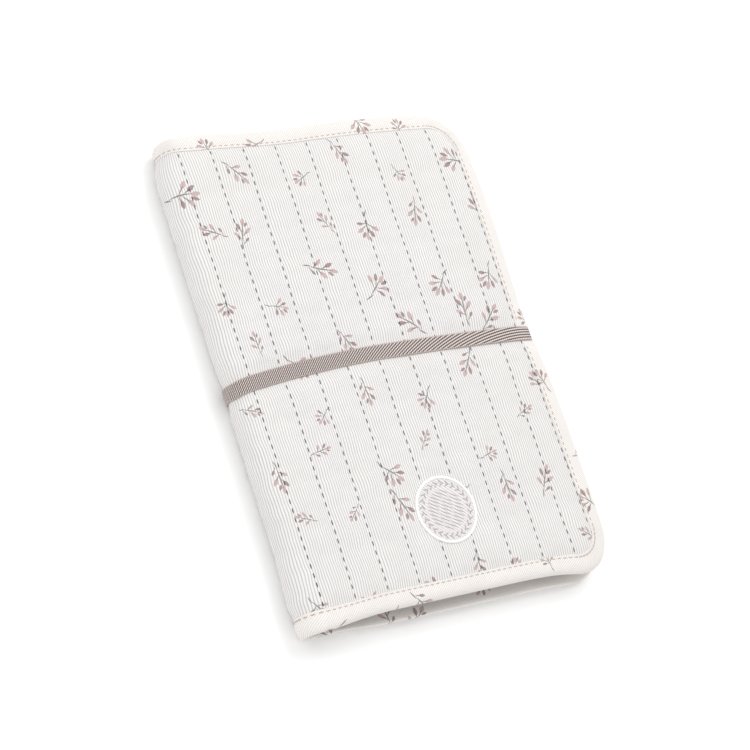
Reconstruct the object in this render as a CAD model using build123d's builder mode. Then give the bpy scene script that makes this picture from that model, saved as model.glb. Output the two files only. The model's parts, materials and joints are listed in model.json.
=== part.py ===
"""Folded, book-style travel changing pad.

Two quilted covers are joined by a soft round spine. The front cover folds open over the
spine, a two-panel wipeable mat unfolds from the back cover's fore-edge, and a loop of woven
elastic holds the closed pad shut. The pad lies closed on its back cover: +Z is up, +Y runs
along the spine, the spine is at -X, and the origin is the middle of the footprint.
"""
import os

from build123d import *

# ---- driving dimensions, in millimetres ----
LENGTH = 330.0            # along the spine, Y
WIDTH = 235.0             # from the spine to the fore-edge, X
FOLDED_HEIGHT = 24.0      # both covers and what lies between them, Z
CORNER_RADIUS = 30.0      # corners at the fore-edge
BINDING_WIDTH = 12.0      # bias binding seen on each face
BINDING_WALL = 2.5        # binding between the edge and the padding
EDGE_ROUND = 1.6          # softened outer edge of the bindings

FACE = 1.8                # quilted cotton face with its scrim
PADDING = 3.0             # wadding
LINING = 1.2              # wipeable inner face
COVER = FACE + PADDING + LINING

BAND_WIDTH = 10.0         # woven elastic
BAND_THICKNESS = 1.0
BAND_Y = 1.0              # the band crosses just past mid-length
BAND_CORNER = 2.9         # inside corner of the band at the fore-edge
BAND_PROUD = 0.6          # how far the band stands above the front cover
BAND_SUNK = 0.1           # how far it lies above the underside
BAND_GAP = 0.3            # clearance between the band and its groove
GROOVE_WIDTH = BAND_WIDTH + 2.0

SPLIT_RELIEF = 1.0        # degrees left open on each side of a fold of the spine
MAT_WIDTH = 105.0         # one mat panel, X
MAT_HALF_LENGTH = 150.0
MAT_SHEET = 0.6
MAT_PADDING = 2.4
MAT_PANEL = MAT_PADDING + 2 * MAT_SHEET
MAT_BINDING = 8.0
MAT_CORNER = 25.0
MAT_GAP = 0.4             # between layers
HINGE_GAP = 1.3           # from a mat panel's edge to its fold line

CUSHION_SIZE = (90.0, 190.0)
CUSHION_X = -44.0
CUSHION_HEIGHT = 9.6

BADGE_X = 1.9
BADGE_Y = -108.0
BADGE_RADIUS = 22.8
BADGE_BASE = 0.6
BADGE_STITCH = 0.5
BADGE_RIM = 3.0

POCKET_PANEL = 0.9
POCKET_HEM = 1.6
HEM_WIDTH = 12.0
LABEL_PLACE = (-88.0, 118.0)
LABEL_SIZE = (22.0, 34.0, 0.4)
POCKET_X = (-60.0, 103.0)
NAPPY_POCKET_Y = (-148.0, 8.0)
WIPES_POCKET_Y = (14.0, 148.0)

# ---- places worked out from them ----
HALF_LENGTH = LENGTH / 2
FORE_EDGE = WIDTH / 2
SPINE_RADIUS = FOLDED_HEIGHT / 2
SPINE_X = -WIDTH / 2 + SPINE_RADIUS
SPINE_Z = SPINE_RADIUS
FACE_INNER = SPINE_RADIUS - FACE
PADDING_INNER = FACE_INNER - PADDING
COVER_INNER = SPINE_RADIUS - COVER
LINING_TOP = COVER
ROOF = FOLDED_HEIGHT - COVER
SPLIT_ANGLE = 45.0 - SPLIT_RELIEF

MAT_RIGHT = FORE_EDGE - HINGE_GAP
MAT_LEFT = MAT_RIGHT - MAT_WIDTH
MAT_1_Z = LINING_TOP + MAT_GAP
MAT_2_Z = MAT_1_Z + MAT_PANEL + MAT_GAP

BAND_BOTTOM = BAND_SUNK + BAND_THICKNESS
BAND_TOP = FOLDED_HEIGHT + BAND_PROUD - BAND_THICKNESS
BAND_RADIUS = (BAND_TOP - BAND_BOTTOM) / 2
BAND_Z = (BAND_TOP + BAND_BOTTOM) / 2
BAND_FORE_EDGE = -SPINE_X + BAND_RADIUS

os.makedirs("parts", exist_ok=True)


def finish(builder, name):
    """Label one finished piece and write it as a STEP file."""
    builder.part.label = name
    export_step(builder.part, f"parts/{name}.step")


def cover_section(outer, inner, side):
    """One layer of a cover in XZ: its flat part and the eighth of a turn beside the spine.

    side is +1 for the front cover, above, and -1 for the back cover, below.
    """
    centre = (SPINE_X, SPINE_Z)
    with BuildSketch(Plane.XZ) as section:
        with BuildLine():
            outside = CenterArc(centre, outer, 90 * side, SPLIT_ANGLE * side)
            inside = CenterArc(centre, inner, 90 * side, SPLIT_ANGLE * side)
            Line(outside @ 1, inside @ 1)
            Polyline(
                outside @ 0,
                (FORE_EDGE, SPINE_Z + side * outer),
                (FORE_EDGE, SPINE_Z + side * inner),
                inside @ 0,
            )
        make_face()
    return section.sketch


def spine_section(outer, inner, y=0.0):
    """One layer of the spine in XZ at one Y: the quarter turn between the two covers."""
    centre = (SPINE_X, SPINE_Z)
    with BuildSketch(Plane.XZ.offset(-y)) as section:
        with BuildLine():
            outside = CenterArc(centre, outer, 180 - SPLIT_ANGLE, 2 * SPLIT_ANGLE)
            inside = CenterArc(centre, inner, 180 - SPLIT_ANGLE, 2 * SPLIT_ANGLE)
            Line(outside @ 0, inside @ 0)
            Line(outside @ 1, inside @ 1)
        make_face()
    return section.sketch


def cover_outline(inset):
    """Plan of a cover, inset from its edge: square at the spine, rounded at the fore-edge."""
    left = -WIDTH
    right = FORE_EDGE - inset
    with BuildSketch() as outline:
        with Locations(((left + right) / 2, 0)):
            Rectangle(right - left, 2 * (HALF_LENGTH - inset))
        fillet(outline.vertices().group_by(Axis.X)[-1], CORNER_RADIUS - inset)
    return outline.sketch


def mat_outline(inset, z):
    """Plan of a mat panel at one height, inset from its edge."""
    with BuildSketch(Plane.XY.offset(z)) as outline:
        with Locations(((MAT_LEFT + MAT_RIGHT) / 2, 0)):
            Rectangle(MAT_WIDTH - 2 * inset, 2 * (MAT_HALF_LENGTH - inset))
        fillet(outline.vertices().group_by(Axis.X)[-1], MAT_CORNER - inset)
        fillet(outline.vertices().group_by(Axis.X)[0], (MAT_CORNER - inset) / 2)
    return outline.sketch


def band_loop(grow):
    """Path of the band in XZ, grown outwards: round at the spine, flat above and below."""
    radius = BAND_RADIUS + grow
    right = BAND_FORE_EDGE + grow
    with BuildSketch(Plane.XZ.offset(-BAND_Y)) as loop:
        with Locations((SPINE_X, BAND_Z)):
            Circle(radius)
        with Locations(((SPINE_X + right) / 2, BAND_Z)):
            Rectangle(right - SPINE_X, 2 * radius)
        fillet(loop.vertices().group_by(Axis.X)[-1], BAND_CORNER + grow)
    return loop.sketch


# Groove that the band presses into the faces and the edge, taken out of every piece it meets.
with BuildPart() as band_groove:
    with Locations((0, BAND_Y, SPINE_Z)):
        Box(2 * WIDTH, GROOVE_WIDTH, 4 * FOLDED_HEIGHT)
    extrude(band_loop(-BAND_GAP), GROOVE_WIDTH, both=True, mode=Mode.SUBTRACT)


# ---- covers ----
def cover_sheet(side, outer, inner):
    """Make the face or the lining of one cover, inside its binding."""
    extrude(cover_section(outer, inner, side), HALF_LENGTH, both=True)
    extrude(cover_outline(BINDING_WIDTH), 2 * FOLDED_HEIGHT, both=True, mode=Mode.INTERSECT)
    add(band_groove.part, mode=Mode.SUBTRACT)


def cover_wadding(side):
    """Make the wadding of one cover, which runs on under the binding of the flat part."""
    extrude(cover_section(FACE_INNER, PADDING_INNER, side), HALF_LENGTH, both=True)
    extrude(cover_outline(BINDING_WALL), 2 * FOLDED_HEIGHT, both=True, mode=Mode.INTERSECT)
    beyond_spine = SPINE_X - WIDTH / 2
    end_y = HALF_LENGTH - BINDING_WIDTH / 2
    with Locations((beyond_spine, end_y, SPINE_Z), (beyond_spine, -end_y, SPINE_Z)):
        Box(WIDTH, BINDING_WIDTH, 2 * FOLDED_HEIGHT, mode=Mode.SUBTRACT)


def is_rim(edge):
    """Tell whether an edge of a bare cover runs level along its outer edge."""
    middle = edge.center()
    level = abs(edge.tangent_at(0.5).Z) < 0.01
    at_fore_edge = middle.X > FORE_EDGE - CORNER_RADIUS
    at_end = abs(abs(middle.Y) - HALF_LENGTH) < 0.01
    return level and middle.X > SPINE_X and (at_fore_edge or at_end)


def cover_binding(tape, side, wadding):
    """Make the bias binding round three edges of a cover, with the wadding tucked into it."""
    extrude(cover_section(SPINE_RADIUS, COVER_INNER, side), HALF_LENGTH, both=True)
    extrude(cover_outline(0), 2 * FOLDED_HEIGHT, both=True, mode=Mode.INTERSECT)
    fillet(tape.edges().filter_by(is_rim), EDGE_ROUND)
    extrude(cover_outline(BINDING_WIDTH), 2 * FOLDED_HEIGHT, both=True, mode=Mode.SUBTRACT)
    add(wadding.part, mode=Mode.SUBTRACT)
    add(band_groove.part, mode=Mode.SUBTRACT)


with BuildPart() as back_outer_panel:
    cover_sheet(-1, SPINE_RADIUS, FACE_INNER)
finish(back_outer_panel, "back_outer_panel")

with BuildPart() as back_padding:
    cover_wadding(-1)
finish(back_padding, "back_padding")

with BuildPart() as back_lining:
    cover_sheet(-1, PADDING_INNER, COVER_INNER)
finish(back_lining, "back_lining")

with BuildPart() as back_binding:
    cover_binding(back_binding, -1, back_padding)
finish(back_binding, "back_binding")

with BuildPart() as front_outer_panel:
    cover_sheet(1, SPINE_RADIUS, FACE_INNER)
finish(front_outer_panel, "front_outer_panel")

with BuildPart() as front_padding:
    cover_wadding(1)
finish(front_padding, "front_padding")

with BuildPart() as front_lining:
    cover_sheet(1, PADDING_INNER, COVER_INNER)
finish(front_lining, "front_lining")

with BuildPart() as front_binding:
    cover_binding(front_binding, 1, front_padding)
finish(front_binding, "front_binding")

# Head cushion sewn to the back cover's lining, in the half that the folded mat leaves free.
with BuildPart() as head_cushion:
    with BuildSketch(Plane.XY.offset(LINING_TOP)):
        with Locations((CUSHION_X, 0)):
            RectangleRounded(*CUSHION_SIZE, 24)
    extrude(amount=CUSHION_HEIGHT)
    fillet(head_cushion.faces().sort_by(Axis.Z)[-1].edges(), 4)
finish(head_cushion, "head_cushion")

# ---- spine ----
with BuildPart() as spine_outer_panel:
    extrude(spine_section(SPINE_RADIUS, FACE_INNER), HALF_LENGTH - BINDING_WIDTH, both=True)
    add(band_groove.part, mode=Mode.SUBTRACT)
finish(spine_outer_panel, "spine_outer_panel")

with BuildPart() as spine_padding:
    extrude(spine_section(FACE_INNER, PADDING_INNER), HALF_LENGTH - BINDING_WIDTH, both=True)
finish(spine_padding, "spine_padding")

with BuildPart() as spine_lining:
    extrude(spine_section(PADDING_INNER, COVER_INNER), HALF_LENGTH - BINDING_WIDTH, both=True)
finish(spine_lining, "spine_lining")

for end, end_side in (("near", -1), ("far", 1)):
    middle_y = end_side * (HALF_LENGTH - BINDING_WIDTH / 2)
    with BuildPart() as spine_binding:
        extrude(spine_section(SPINE_RADIUS, COVER_INNER, middle_y), BINDING_WIDTH / 2, both=True)
    finish(spine_binding, f"spine_binding_{end}")

# ---- mat ----
# The lower panel lies wiping side down, and turns over as it unfolds; the upper one stays level.
for number, floor, wipe_side_up in ((1, MAT_1_Z, False), (2, MAT_2_Z, True)):
    roof = floor + MAT_PANEL - MAT_SHEET
    top_sheet_z, backing_z = (roof, floor) if wipe_side_up else (floor, roof)

    with BuildPart() as mat_top_sheet:
        extrude(mat_outline(MAT_BINDING, top_sheet_z), MAT_SHEET)
    finish(mat_top_sheet, f"mat_{number}_top_sheet")

    with BuildPart() as mat_padding:
        extrude(mat_outline(BINDING_WALL, floor + MAT_SHEET), MAT_PADDING)
    finish(mat_padding, f"mat_{number}_padding")

    with BuildPart() as mat_backing:
        extrude(mat_outline(MAT_BINDING, backing_z), MAT_SHEET)
    finish(mat_backing, f"mat_{number}_backing")

    with BuildPart() as mat_binding:
        extrude(mat_outline(0, floor), MAT_PANEL)
        extrude(mat_outline(MAT_BINDING, floor), MAT_PANEL, mode=Mode.SUBTRACT)
        add(mat_padding.part, mode=Mode.SUBTRACT)
    finish(mat_binding, f"mat_{number}_binding")

# ---- pockets and label inside the front cover ----
pocket_centre_x = (POCKET_X[0] + POCKET_X[1]) / 2
pocket_size_x = POCKET_X[1] - POCKET_X[0]
for pocket, (low_y, high_y) in (("nappy_pocket", NAPPY_POCKET_Y), ("wipes_pocket", WIPES_POCKET_Y)):
    middle_y = (low_y + high_y) / 2
    with BuildPart() as pocket_panel:
        with BuildSketch(Plane.XY.offset(ROOF - POCKET_PANEL)):
            with Locations((pocket_centre_x, middle_y)):
                Rectangle(pocket_size_x, high_y - low_y)
        extrude(amount=POCKET_PANEL)
        extrude(cover_outline(BINDING_WIDTH + 1), 2 * FOLDED_HEIGHT, both=True, mode=Mode.INTERSECT)
    finish(pocket_panel, pocket)

    with BuildPart() as pocket_hem:
        with BuildSketch(Plane.XY.offset(ROOF - POCKET_HEM)):
            with Locations((POCKET_X[0] - HEM_WIDTH / 2, middle_y)):
                Rectangle(HEM_WIDTH, high_y - low_y)
        extrude(amount=POCKET_HEM)
    finish(pocket_hem, f"{pocket}_hem")

with BuildPart() as care_label:
    with BuildSketch(Plane.XY.offset(ROOF - LABEL_SIZE[2])):
        with Locations(LABEL_PLACE):
            Rectangle(LABEL_SIZE[0], LABEL_SIZE[1])
    extrude(amount=LABEL_SIZE[2])
finish(care_label, "care_label")

# ---- badge ----
with BuildPart() as badge_base:
    with BuildSketch(Plane.XY.offset(FOLDED_HEIGHT)):
        with Locations((BADGE_X, BADGE_Y)):
            Circle(BADGE_RADIUS)
    extrude(amount=BADGE_BASE)
finish(badge_base, "badge_base")

with BuildPart() as badge_ring:
    with BuildSketch(Plane.XY.offset(FOLDED_HEIGHT + BADGE_BASE)):
        with Locations((BADGE_X, BADGE_Y)):
            Circle(BADGE_RADIUS)
            Circle(BADGE_RADIUS - BADGE_RIM, mode=Mode.SUBTRACT)
    extrude(amount=BADGE_STITCH)
finish(badge_ring, "badge_ring")

with BuildPart() as badge_motif:
    with BuildSketch(Plane.XY.offset(FOLDED_HEIGHT + BADGE_BASE)):
        with Locations((BADGE_X, BADGE_Y)):
            Rectangle(1.0, 16)
            for lift in (-3.0, 2.0):
                for lean in (-1, 1):
                    with Locations(Location((lean * 3.4, lift, 0), -lean * 50)):
                        Ellipse(1.7, 4.2)
        with Locations((BADGE_X, BADGE_Y + 9)):
            Ellipse(1.9, 4.0)
    extrude(amount=BADGE_STITCH)
finish(badge_motif, "badge_motif")

# ---- elastic band ----
with BuildPart() as elastic_band:
    extrude(band_loop(BAND_THICKNESS), BAND_WIDTH / 2, both=True)
    extrude(band_loop(0), BAND_WIDTH / 2, both=True, mode=Mode.SUBTRACT)
finish(elastic_band, "elastic_band")
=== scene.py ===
"""Folded, book-style travel changing pad: its cloth, stitching and trims round the CAD frame."""
import json
import logging
import math
from collections.abc import Callable, Sequence
from dataclasses import dataclass, field
from enum import Enum

import bmesh
import bpy
from bpy.types import Material, Mesh, NodeSocket, NodeTree, Object
from mathutils import Matrix, Vector, noise
from mathutils.bvhtree import BVHTree


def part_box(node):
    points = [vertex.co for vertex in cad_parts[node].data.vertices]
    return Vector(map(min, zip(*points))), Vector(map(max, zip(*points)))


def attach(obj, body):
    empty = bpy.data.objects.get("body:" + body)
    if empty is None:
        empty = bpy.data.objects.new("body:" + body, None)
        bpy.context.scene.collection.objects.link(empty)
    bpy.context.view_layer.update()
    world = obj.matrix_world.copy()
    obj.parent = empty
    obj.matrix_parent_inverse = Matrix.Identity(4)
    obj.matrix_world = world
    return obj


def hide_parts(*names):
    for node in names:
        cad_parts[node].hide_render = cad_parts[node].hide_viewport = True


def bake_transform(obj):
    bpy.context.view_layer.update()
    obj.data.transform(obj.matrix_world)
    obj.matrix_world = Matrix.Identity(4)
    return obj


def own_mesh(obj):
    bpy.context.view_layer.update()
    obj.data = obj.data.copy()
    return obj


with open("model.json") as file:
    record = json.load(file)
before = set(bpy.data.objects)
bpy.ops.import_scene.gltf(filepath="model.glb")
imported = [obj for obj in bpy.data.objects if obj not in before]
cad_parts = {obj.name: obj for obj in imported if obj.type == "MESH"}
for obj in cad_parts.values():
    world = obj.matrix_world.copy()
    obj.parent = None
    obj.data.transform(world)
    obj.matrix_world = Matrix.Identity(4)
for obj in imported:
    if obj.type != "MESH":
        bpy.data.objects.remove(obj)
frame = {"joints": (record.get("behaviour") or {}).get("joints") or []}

LOG = logging.getLogger("changing_pad")
MM = 0.001
UP = Vector((0.0, 0.0, 1.0))
Colour = tuple[float, float, float]
Placer = Callable[[float, float], Vector]
Layer = Callable[[float, float, float], Vector]
SewingPath = Callable[[float], tuple[Vector, Vector]]


class Side(Enum):
    """The two covers: the front one lies on top, the back one lies underneath."""

    FRONT = "front"
    BACK = "back"


class Rib(Enum):
    """How the ribs of a cloth lie on its own grain."""

    LENGTHWISE = 90.0
    BIAS = 45.0


def ease(low: float, high: float, value: float) -> float:
    """Go smoothly from 0 at low to 1 at high, which may be the smaller of the two."""
    share = min(1.0, max(0.0, (value - low) / (high - low)))
    return share * share * (3.0 - 2.0 * share)


def mixed(first: float, second: float, share: float) -> float:
    """Return the value a share of the way from first to second."""
    return first + (second - first) * share


def hump(value: float, middle: float, below: float, above: float) -> float:
    """Rise to 1 at the middle and fall away over one width below it and another above it."""
    width = above if value > middle else below
    return math.exp(-(((value - middle) / width) ** 2))


def tint(red: int, green: int, blue: int) -> Colour:
    """Turn an 8-bit display colour into the linear colour a shader wants.

    Args:
        red: red, 0 to 255.
        green: green, 0 to 255.
        blue: blue, 0 to 255.

    Returns:
        The colour.
    """

    def linear(value: int) -> float:
        """Linear share of one channel."""
        share = value / 255.0
        return share / 12.92 if value < 11 else ((share + 0.055) / 1.055) ** 2.4

    return linear(red), linear(green), linear(blue)


# ---------------------------------------------------------------- sizes and forms


@dataclass(frozen=True)
class PadSizes:
    """Sizes of the closed pad in metres, read from the frame.

    Attributes:
        fore_edge: X of the covers' fore-edge.
        half_length: half the pad's length along the spine.
        height: height of the closed pad.
        cover: thickness of one cover.
        spine_x: X of the middle of the round spine.
        radius: outer radius of the spine.
    """

    fore_edge: float
    half_length: float
    height: float
    cover: float
    spine_x: float
    radius: float
    binding: float = 12 * MM
    corner: float = 30 * MM
    overlap: float = 3 * MM
    line_pitch: float = 24 * MM
    line_count: int = 9

    @classmethod
    def from_frame(cls) -> "PadSizes":
        """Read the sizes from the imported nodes.

        Returns:
            The sizes.
        """
        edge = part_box("front_binding")[1]
        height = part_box("front_outer_panel")[1].z
        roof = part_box("nappy_pocket")[1].z
        radius = height / 2
        spine_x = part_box("spine_outer_panel")[0].x + radius
        return cls(edge.x, edge.y, height, height - roof, spine_x, radius)

    @property
    def spine_end(self) -> float:
        """Plan X at which a cover's cloth, laid flat, reaches the middle of the spine."""
        return self.spine_x - self.radius * math.pi / 2

    @property
    def cloth_end(self) -> float:
        """Plan X at which the cloth ends, a little past the middle of the spine."""
        return self.spine_end - self.overlap

    @property
    def first_line(self) -> float:
        """Plan X of the quilting line beside the spine."""
        return self.spine_x - 0.5 * MM

    @property
    def edge_line(self) -> float:
        """Plan X of the quilting line that runs along the fore-edge binding."""
        return self.fore_edge - self.binding - 1.0 * MM

    def quilting_lines(self) -> list[float]:
        """Plan X of every lengthwise quilting line."""
        lines = [self.first_line + self.line_pitch * k for k in range(self.line_count)]
        return [*lines, self.edge_line]

    def inset(self, u: float, y: float) -> float:
        """Distance in from the covers' outline, which is rounded at the fore-edge.

        Args:
            u: unrolled plan X.
            y: plan Y.

        Returns:
            The distance, negative outside the outline.
        """
        over_u = u - (self.fore_edge - self.corner)
        over_y = abs(y) - (self.half_length - self.corner)
        if over_u > 0 and over_y > 0:
            return self.corner - math.hypot(over_u, over_y)
        return min(self.fore_edge - u, self.half_length - abs(y))

    def rounded(self, u: float, y: float, inset: float) -> tuple[float, float]:
        """Draw a square-cornered plan point into the rounded corner of an inset outline.

        Args:
            u: plan X.
            y: plan Y.
            inset: how far in the outline lies.

        Returns:
            The plan point, moved only where it lies in the square round a corner.
        """
        radius = self.corner - inset
        over_u = (u - (self.fore_edge - self.corner)) / radius
        over_y = (abs(y) - (self.half_length - self.corner)) / radius
        if over_u <= 0 or over_y <= 0:
            return u, y
        drawn_u = over_u * math.sqrt(1 - min(1.0, over_y) ** 2 / 2)
        drawn_y = over_y * math.sqrt(1 - min(1.0, over_u) ** 2 / 2)
        side = math.copysign(1.0, y)
        return (
            self.fore_edge - self.corner + drawn_u * radius,
            side * (self.half_length - self.corner + drawn_y * radius),
        )


@dataclass(frozen=True)
class BandLine:
    """The line that the closing band takes round the pad, in plan."""

    middle_y: float
    spine_sag: float = 9.0 * MM
    edge_sag: float = 2.6 * MM
    reach: float = 118 * MM
    half_width: float = 5.0 * MM
    shoulder: float = 10.0 * MM
    on_spine: float = 0.35 * MM

    def y(self, u: float) -> float:
        """Plan Y of the band's middle at plan X.

        Args:
            u: unrolled plan X.

        Returns:
            The plan Y.
        """
        sag = self.spine_sag if u < 0 else self.edge_sag
        share = min(1.0, abs(u) / self.reach)
        return self.middle_y + 0.6 * MM - sag * share * share

    def hold(self, u: float, y: float) -> float:
        """How much the band holds the cloth down there, from 0 to 1."""
        off = abs(y - self.y(u))
        return 1.0 - ease(self.half_width + 0.4 * MM, self.half_width + self.shoulder, off)


@dataclass(frozen=True)
class CoverForm:
    """Lays a cover's flat cloth in its place: over the flat part and round half of the spine.

    A point is given by its plan place (u, y) and its height above the cover's outer face.

    Attributes:
        sizes: the pad's sizes.
        band: the line of the closing band.
        side: which cover it is.
        rim: how far in from the edge the soft rim reaches.
        near_flare: how far the corner beside the badge spreads outwards, along X and Y.
        near_flare_under: the same along Y, on the back cover.
        far_pull_u: how far the other corner draws in along X.
        far_pull_y: how far it draws in along Y.
        band_pull: how far the band draws the fore-edge in.
        near_inward: how far the near edge of the front cover bows in.
        near_outward_under: how far the near edge of the back cover bows out.
        far_inward: how far the far edge bows in.
        edge_droop: lean of the front cover's rim towards the other cover.
        near_corner_droop: lean of the corner beside the badge.
        far_corner_droop: lean of the other corner.
        band_droop: lean of the fore-edge under the band.
        far_droop: lean of the far edge.
        back_rise: lean of the back cover's two ends.
        spine_bulge: how far the spine stands out near one end.
        spine_taper: how far it tapers in at the other.
    """

    sizes: PadSizes
    band: BandLine
    side: Side
    rim: float = 42 * MM
    near_flare: float = 3.0 * MM
    near_flare_under: float = 5.0 * MM
    far_pull_u: float = 1.6 * MM
    far_pull_y: float = 1.4 * MM
    band_pull: float = 1.3 * MM
    near_inward: float = 2.4 * MM
    near_outward_under: float = 3.0 * MM
    far_inward: float = 2.2 * MM
    edge_droop: float = 0.6 * MM
    near_corner_droop: float = 5.0 * MM
    far_corner_droop: float = 2.6 * MM
    band_droop: float = 4.2 * MM
    far_droop: float = 1.6 * MM
    back_rise: float = 4.4 * MM
    spine_bulge: float = 3.2 * MM
    spine_taper: float = 3.6 * MM

    def near_corner(self, u: float, y: float) -> float:
        """Nearness to the corner beside the badge, from 0 to 1.

        Args:
            u: unrolled plan X.
            y: plan Y.

        Returns:
            The nearness.
        """
        sizes = self.sizes
        middle_u, middle_y = sizes.fore_edge - 7 * MM, 7 * MM - sizes.half_length
        return hump(math.hypot(u - middle_u, y - middle_y), 0.0, 30 * MM, 30 * MM)

    def far_corner(self, u: float, y: float) -> float:
        """Nearness to the other corner of the fore-edge, from 0 to 1.

        Args:
            u: unrolled plan X.
            y: plan Y.

        Returns:
            The nearness.
        """
        sizes = self.sizes
        middle_u, middle_y = sizes.fore_edge - 7 * MM, sizes.half_length - 7 * MM
        return hump(math.hypot(u - middle_u, y - middle_y), 0.0, 38 * MM, 38 * MM)

    def waist(self, u: float, y: float) -> float:
        """How much the band draws the fore-edge in there, from 0 to 1."""
        return hump(y, 14 * MM, 34 * MM, 56 * MM) * ease(30 * MM, self.sizes.fore_edge, u)

    def drift(self, u: float, y: float) -> tuple[float, float]:
        """Plan place that a point of the soft cover really takes, a little off its pattern.

        Args:
            u: unrolled plan X.
            y: plan Y.

        Returns:
            The place, as plan X and plan Y.
        """
        sizes = self.sizes
        on_rim = 1.0 - ease(0.0, self.rim, sizes.inset(u, y))
        along = ease(sizes.spine_x, sizes.spine_x + 50 * MM, u)
        near = self.near_corner(u, y)
        far = self.far_corner(u, y)
        on_front = self.side is Side.FRONT
        flare = self.near_flare if on_front else self.near_flare_under
        inward = self.near_inward if on_front else -self.near_outward_under
        near_end, far_end = (ease(50 * MM, 6 * MM, sizes.half_length + way * y) for way in (1.0, -1.0))
        shift_u = self.near_flare * near - self.far_pull_u * far - self.band_pull * self.waist(u, y)
        shift_y = -flare * near - self.far_pull_y * far
        shift_y += inward * along * (1.0 - near) * near_end
        shift_y -= self.far_inward * hump(u, -32 * MM, 36 * MM, 40 * MM) * far_end
        return u + shift_u * on_rim, y + shift_y * on_rim

    def droop(self, u: float, y: float) -> float:
        """How far the cover's rim leans towards the other cover.

        Args:
            u: unrolled plan X.
            y: plan Y.

        Returns:
            The lean, in metres.
        """
        sizes = self.sizes
        off_spine = ease(sizes.spine_x - 9 * MM, sizes.spine_x + 14 * MM, u)
        if self.side is Side.BACK:
            lean = max(0.0, 1.0 - (sizes.half_length - abs(y)) / sizes.binding)
            off_edge = 1.0 - ease(sizes.fore_edge - 40 * MM, sizes.fore_edge - 18 * MM, u)
            return self.back_rise * lean * lean * off_spine * off_edge
        lean = max(0.0, 1.0 - sizes.inset(u, y) / (26 * MM))
        amount = self.edge_droop + 0.6 * MM * noise.noise(Vector((u * 22, y * 22, 3.1)))
        amount += self.near_corner_droop * self.near_corner(u, y)
        amount += self.far_corner_droop * self.far_corner(u, y)
        amount += self.band_droop * self.waist(u, y)
        amount += self.far_droop * ease(0.0, sizes.half_length, y)
        return amount * lean * lean * off_spine

    def spine_swell(self, y: float) -> float:
        """How far the spine stands out near one end and tapers in at the other.

        Args:
            y: plan Y.

        Returns:
            How far it stands out, in metres.
        """
        half = self.sizes.half_length
        out = ease(-half + 62 * MM, -half + 4 * MM, y) if y < 0 else 0.0
        return self.spine_bulge * out - self.spine_taper * ease(half - 34 * MM, half, y)

    def place(self, u: float, y: float, height: float) -> Vector:
        """Lay one point of the cover's cloth in space.

        Args:
            u: plan X, which runs on past the spine's middle line round the spine.
            y: plan Y.
            height: height above the outer face, negative towards the lining.

        Returns:
            The point in the row frame.
        """
        sizes = self.sizes
        if u >= sizes.spine_x:
            x, z = u, sizes.height + height
        else:
            angle = (sizes.spine_x - u) / sizes.radius
            reach = sizes.radius + height
            x = sizes.spine_x - (reach + self.spine_swell(y)) * math.sin(angle)
            z = sizes.radius + reach * math.cos(angle)
        z -= self.droop(u, y)
        drift_u, y = self.drift(u, y)
        x += drift_u - u
        if self.side is Side.BACK:
            z = max(0.15 * MM, sizes.height - z)
        return Vector((x, y, z))

    def held_height(self, u: float) -> float:
        """Height of the cloth right under the band, which sinks less into the hard curve of the spine.

        Args:
            u: unrolled plan X.

        Returns:
            The height, in metres.
        """
        sizes = self.sizes
        sunk = -0.75 * MM if self.side is Side.FRONT else -1.2 * MM
        return mixed(self.band.on_spine, sunk, ease(sizes.spine_end, sizes.spine_x + 12 * MM, u))

    def ride(self, piece: Object) -> Object:
        """Bake a piece's transform into its mesh; place has already laid it over its half of the spine.

        Args:
            piece: the piece.

        Returns:
            The same piece.
        """
        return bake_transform(piece)


# ---------------------------------------------------------------- plan paths


@dataclass(frozen=True)
class Run:
    """A straight stretch of a plan path."""

    start: tuple[float, float]
    end: tuple[float, float]

    @property
    def length(self) -> float:
        """Length of the stretch."""
        return math.dist(self.start, self.end)

    def at(self, distance: float) -> tuple[Vector, Vector]:
        """Point and inward direction a distance along, with the inside on the left."""
        along = (Vector(self.end) - Vector(self.start)).normalized()
        return Vector(self.start) + along * distance, Vector((-along.y, along.x))


@dataclass(frozen=True)
class Bend:
    """A round stretch of a plan path, counter-clockwise."""

    centre: tuple[float, float]
    radius: float
    start: float
    turn: float = math.pi / 2

    @property
    def length(self) -> float:
        """Length of the stretch."""
        return self.radius * self.turn

    def at(self, distance: float) -> tuple[Vector, Vector]:
        """Point and inward direction a distance along.

        Args:
            distance: distance along.

        Returns:
            The point and the direction.
        """
        angle = self.start + distance / self.radius
        out = Vector((math.cos(angle), math.sin(angle)))
        return Vector(self.centre) + out * self.radius, -out


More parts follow.
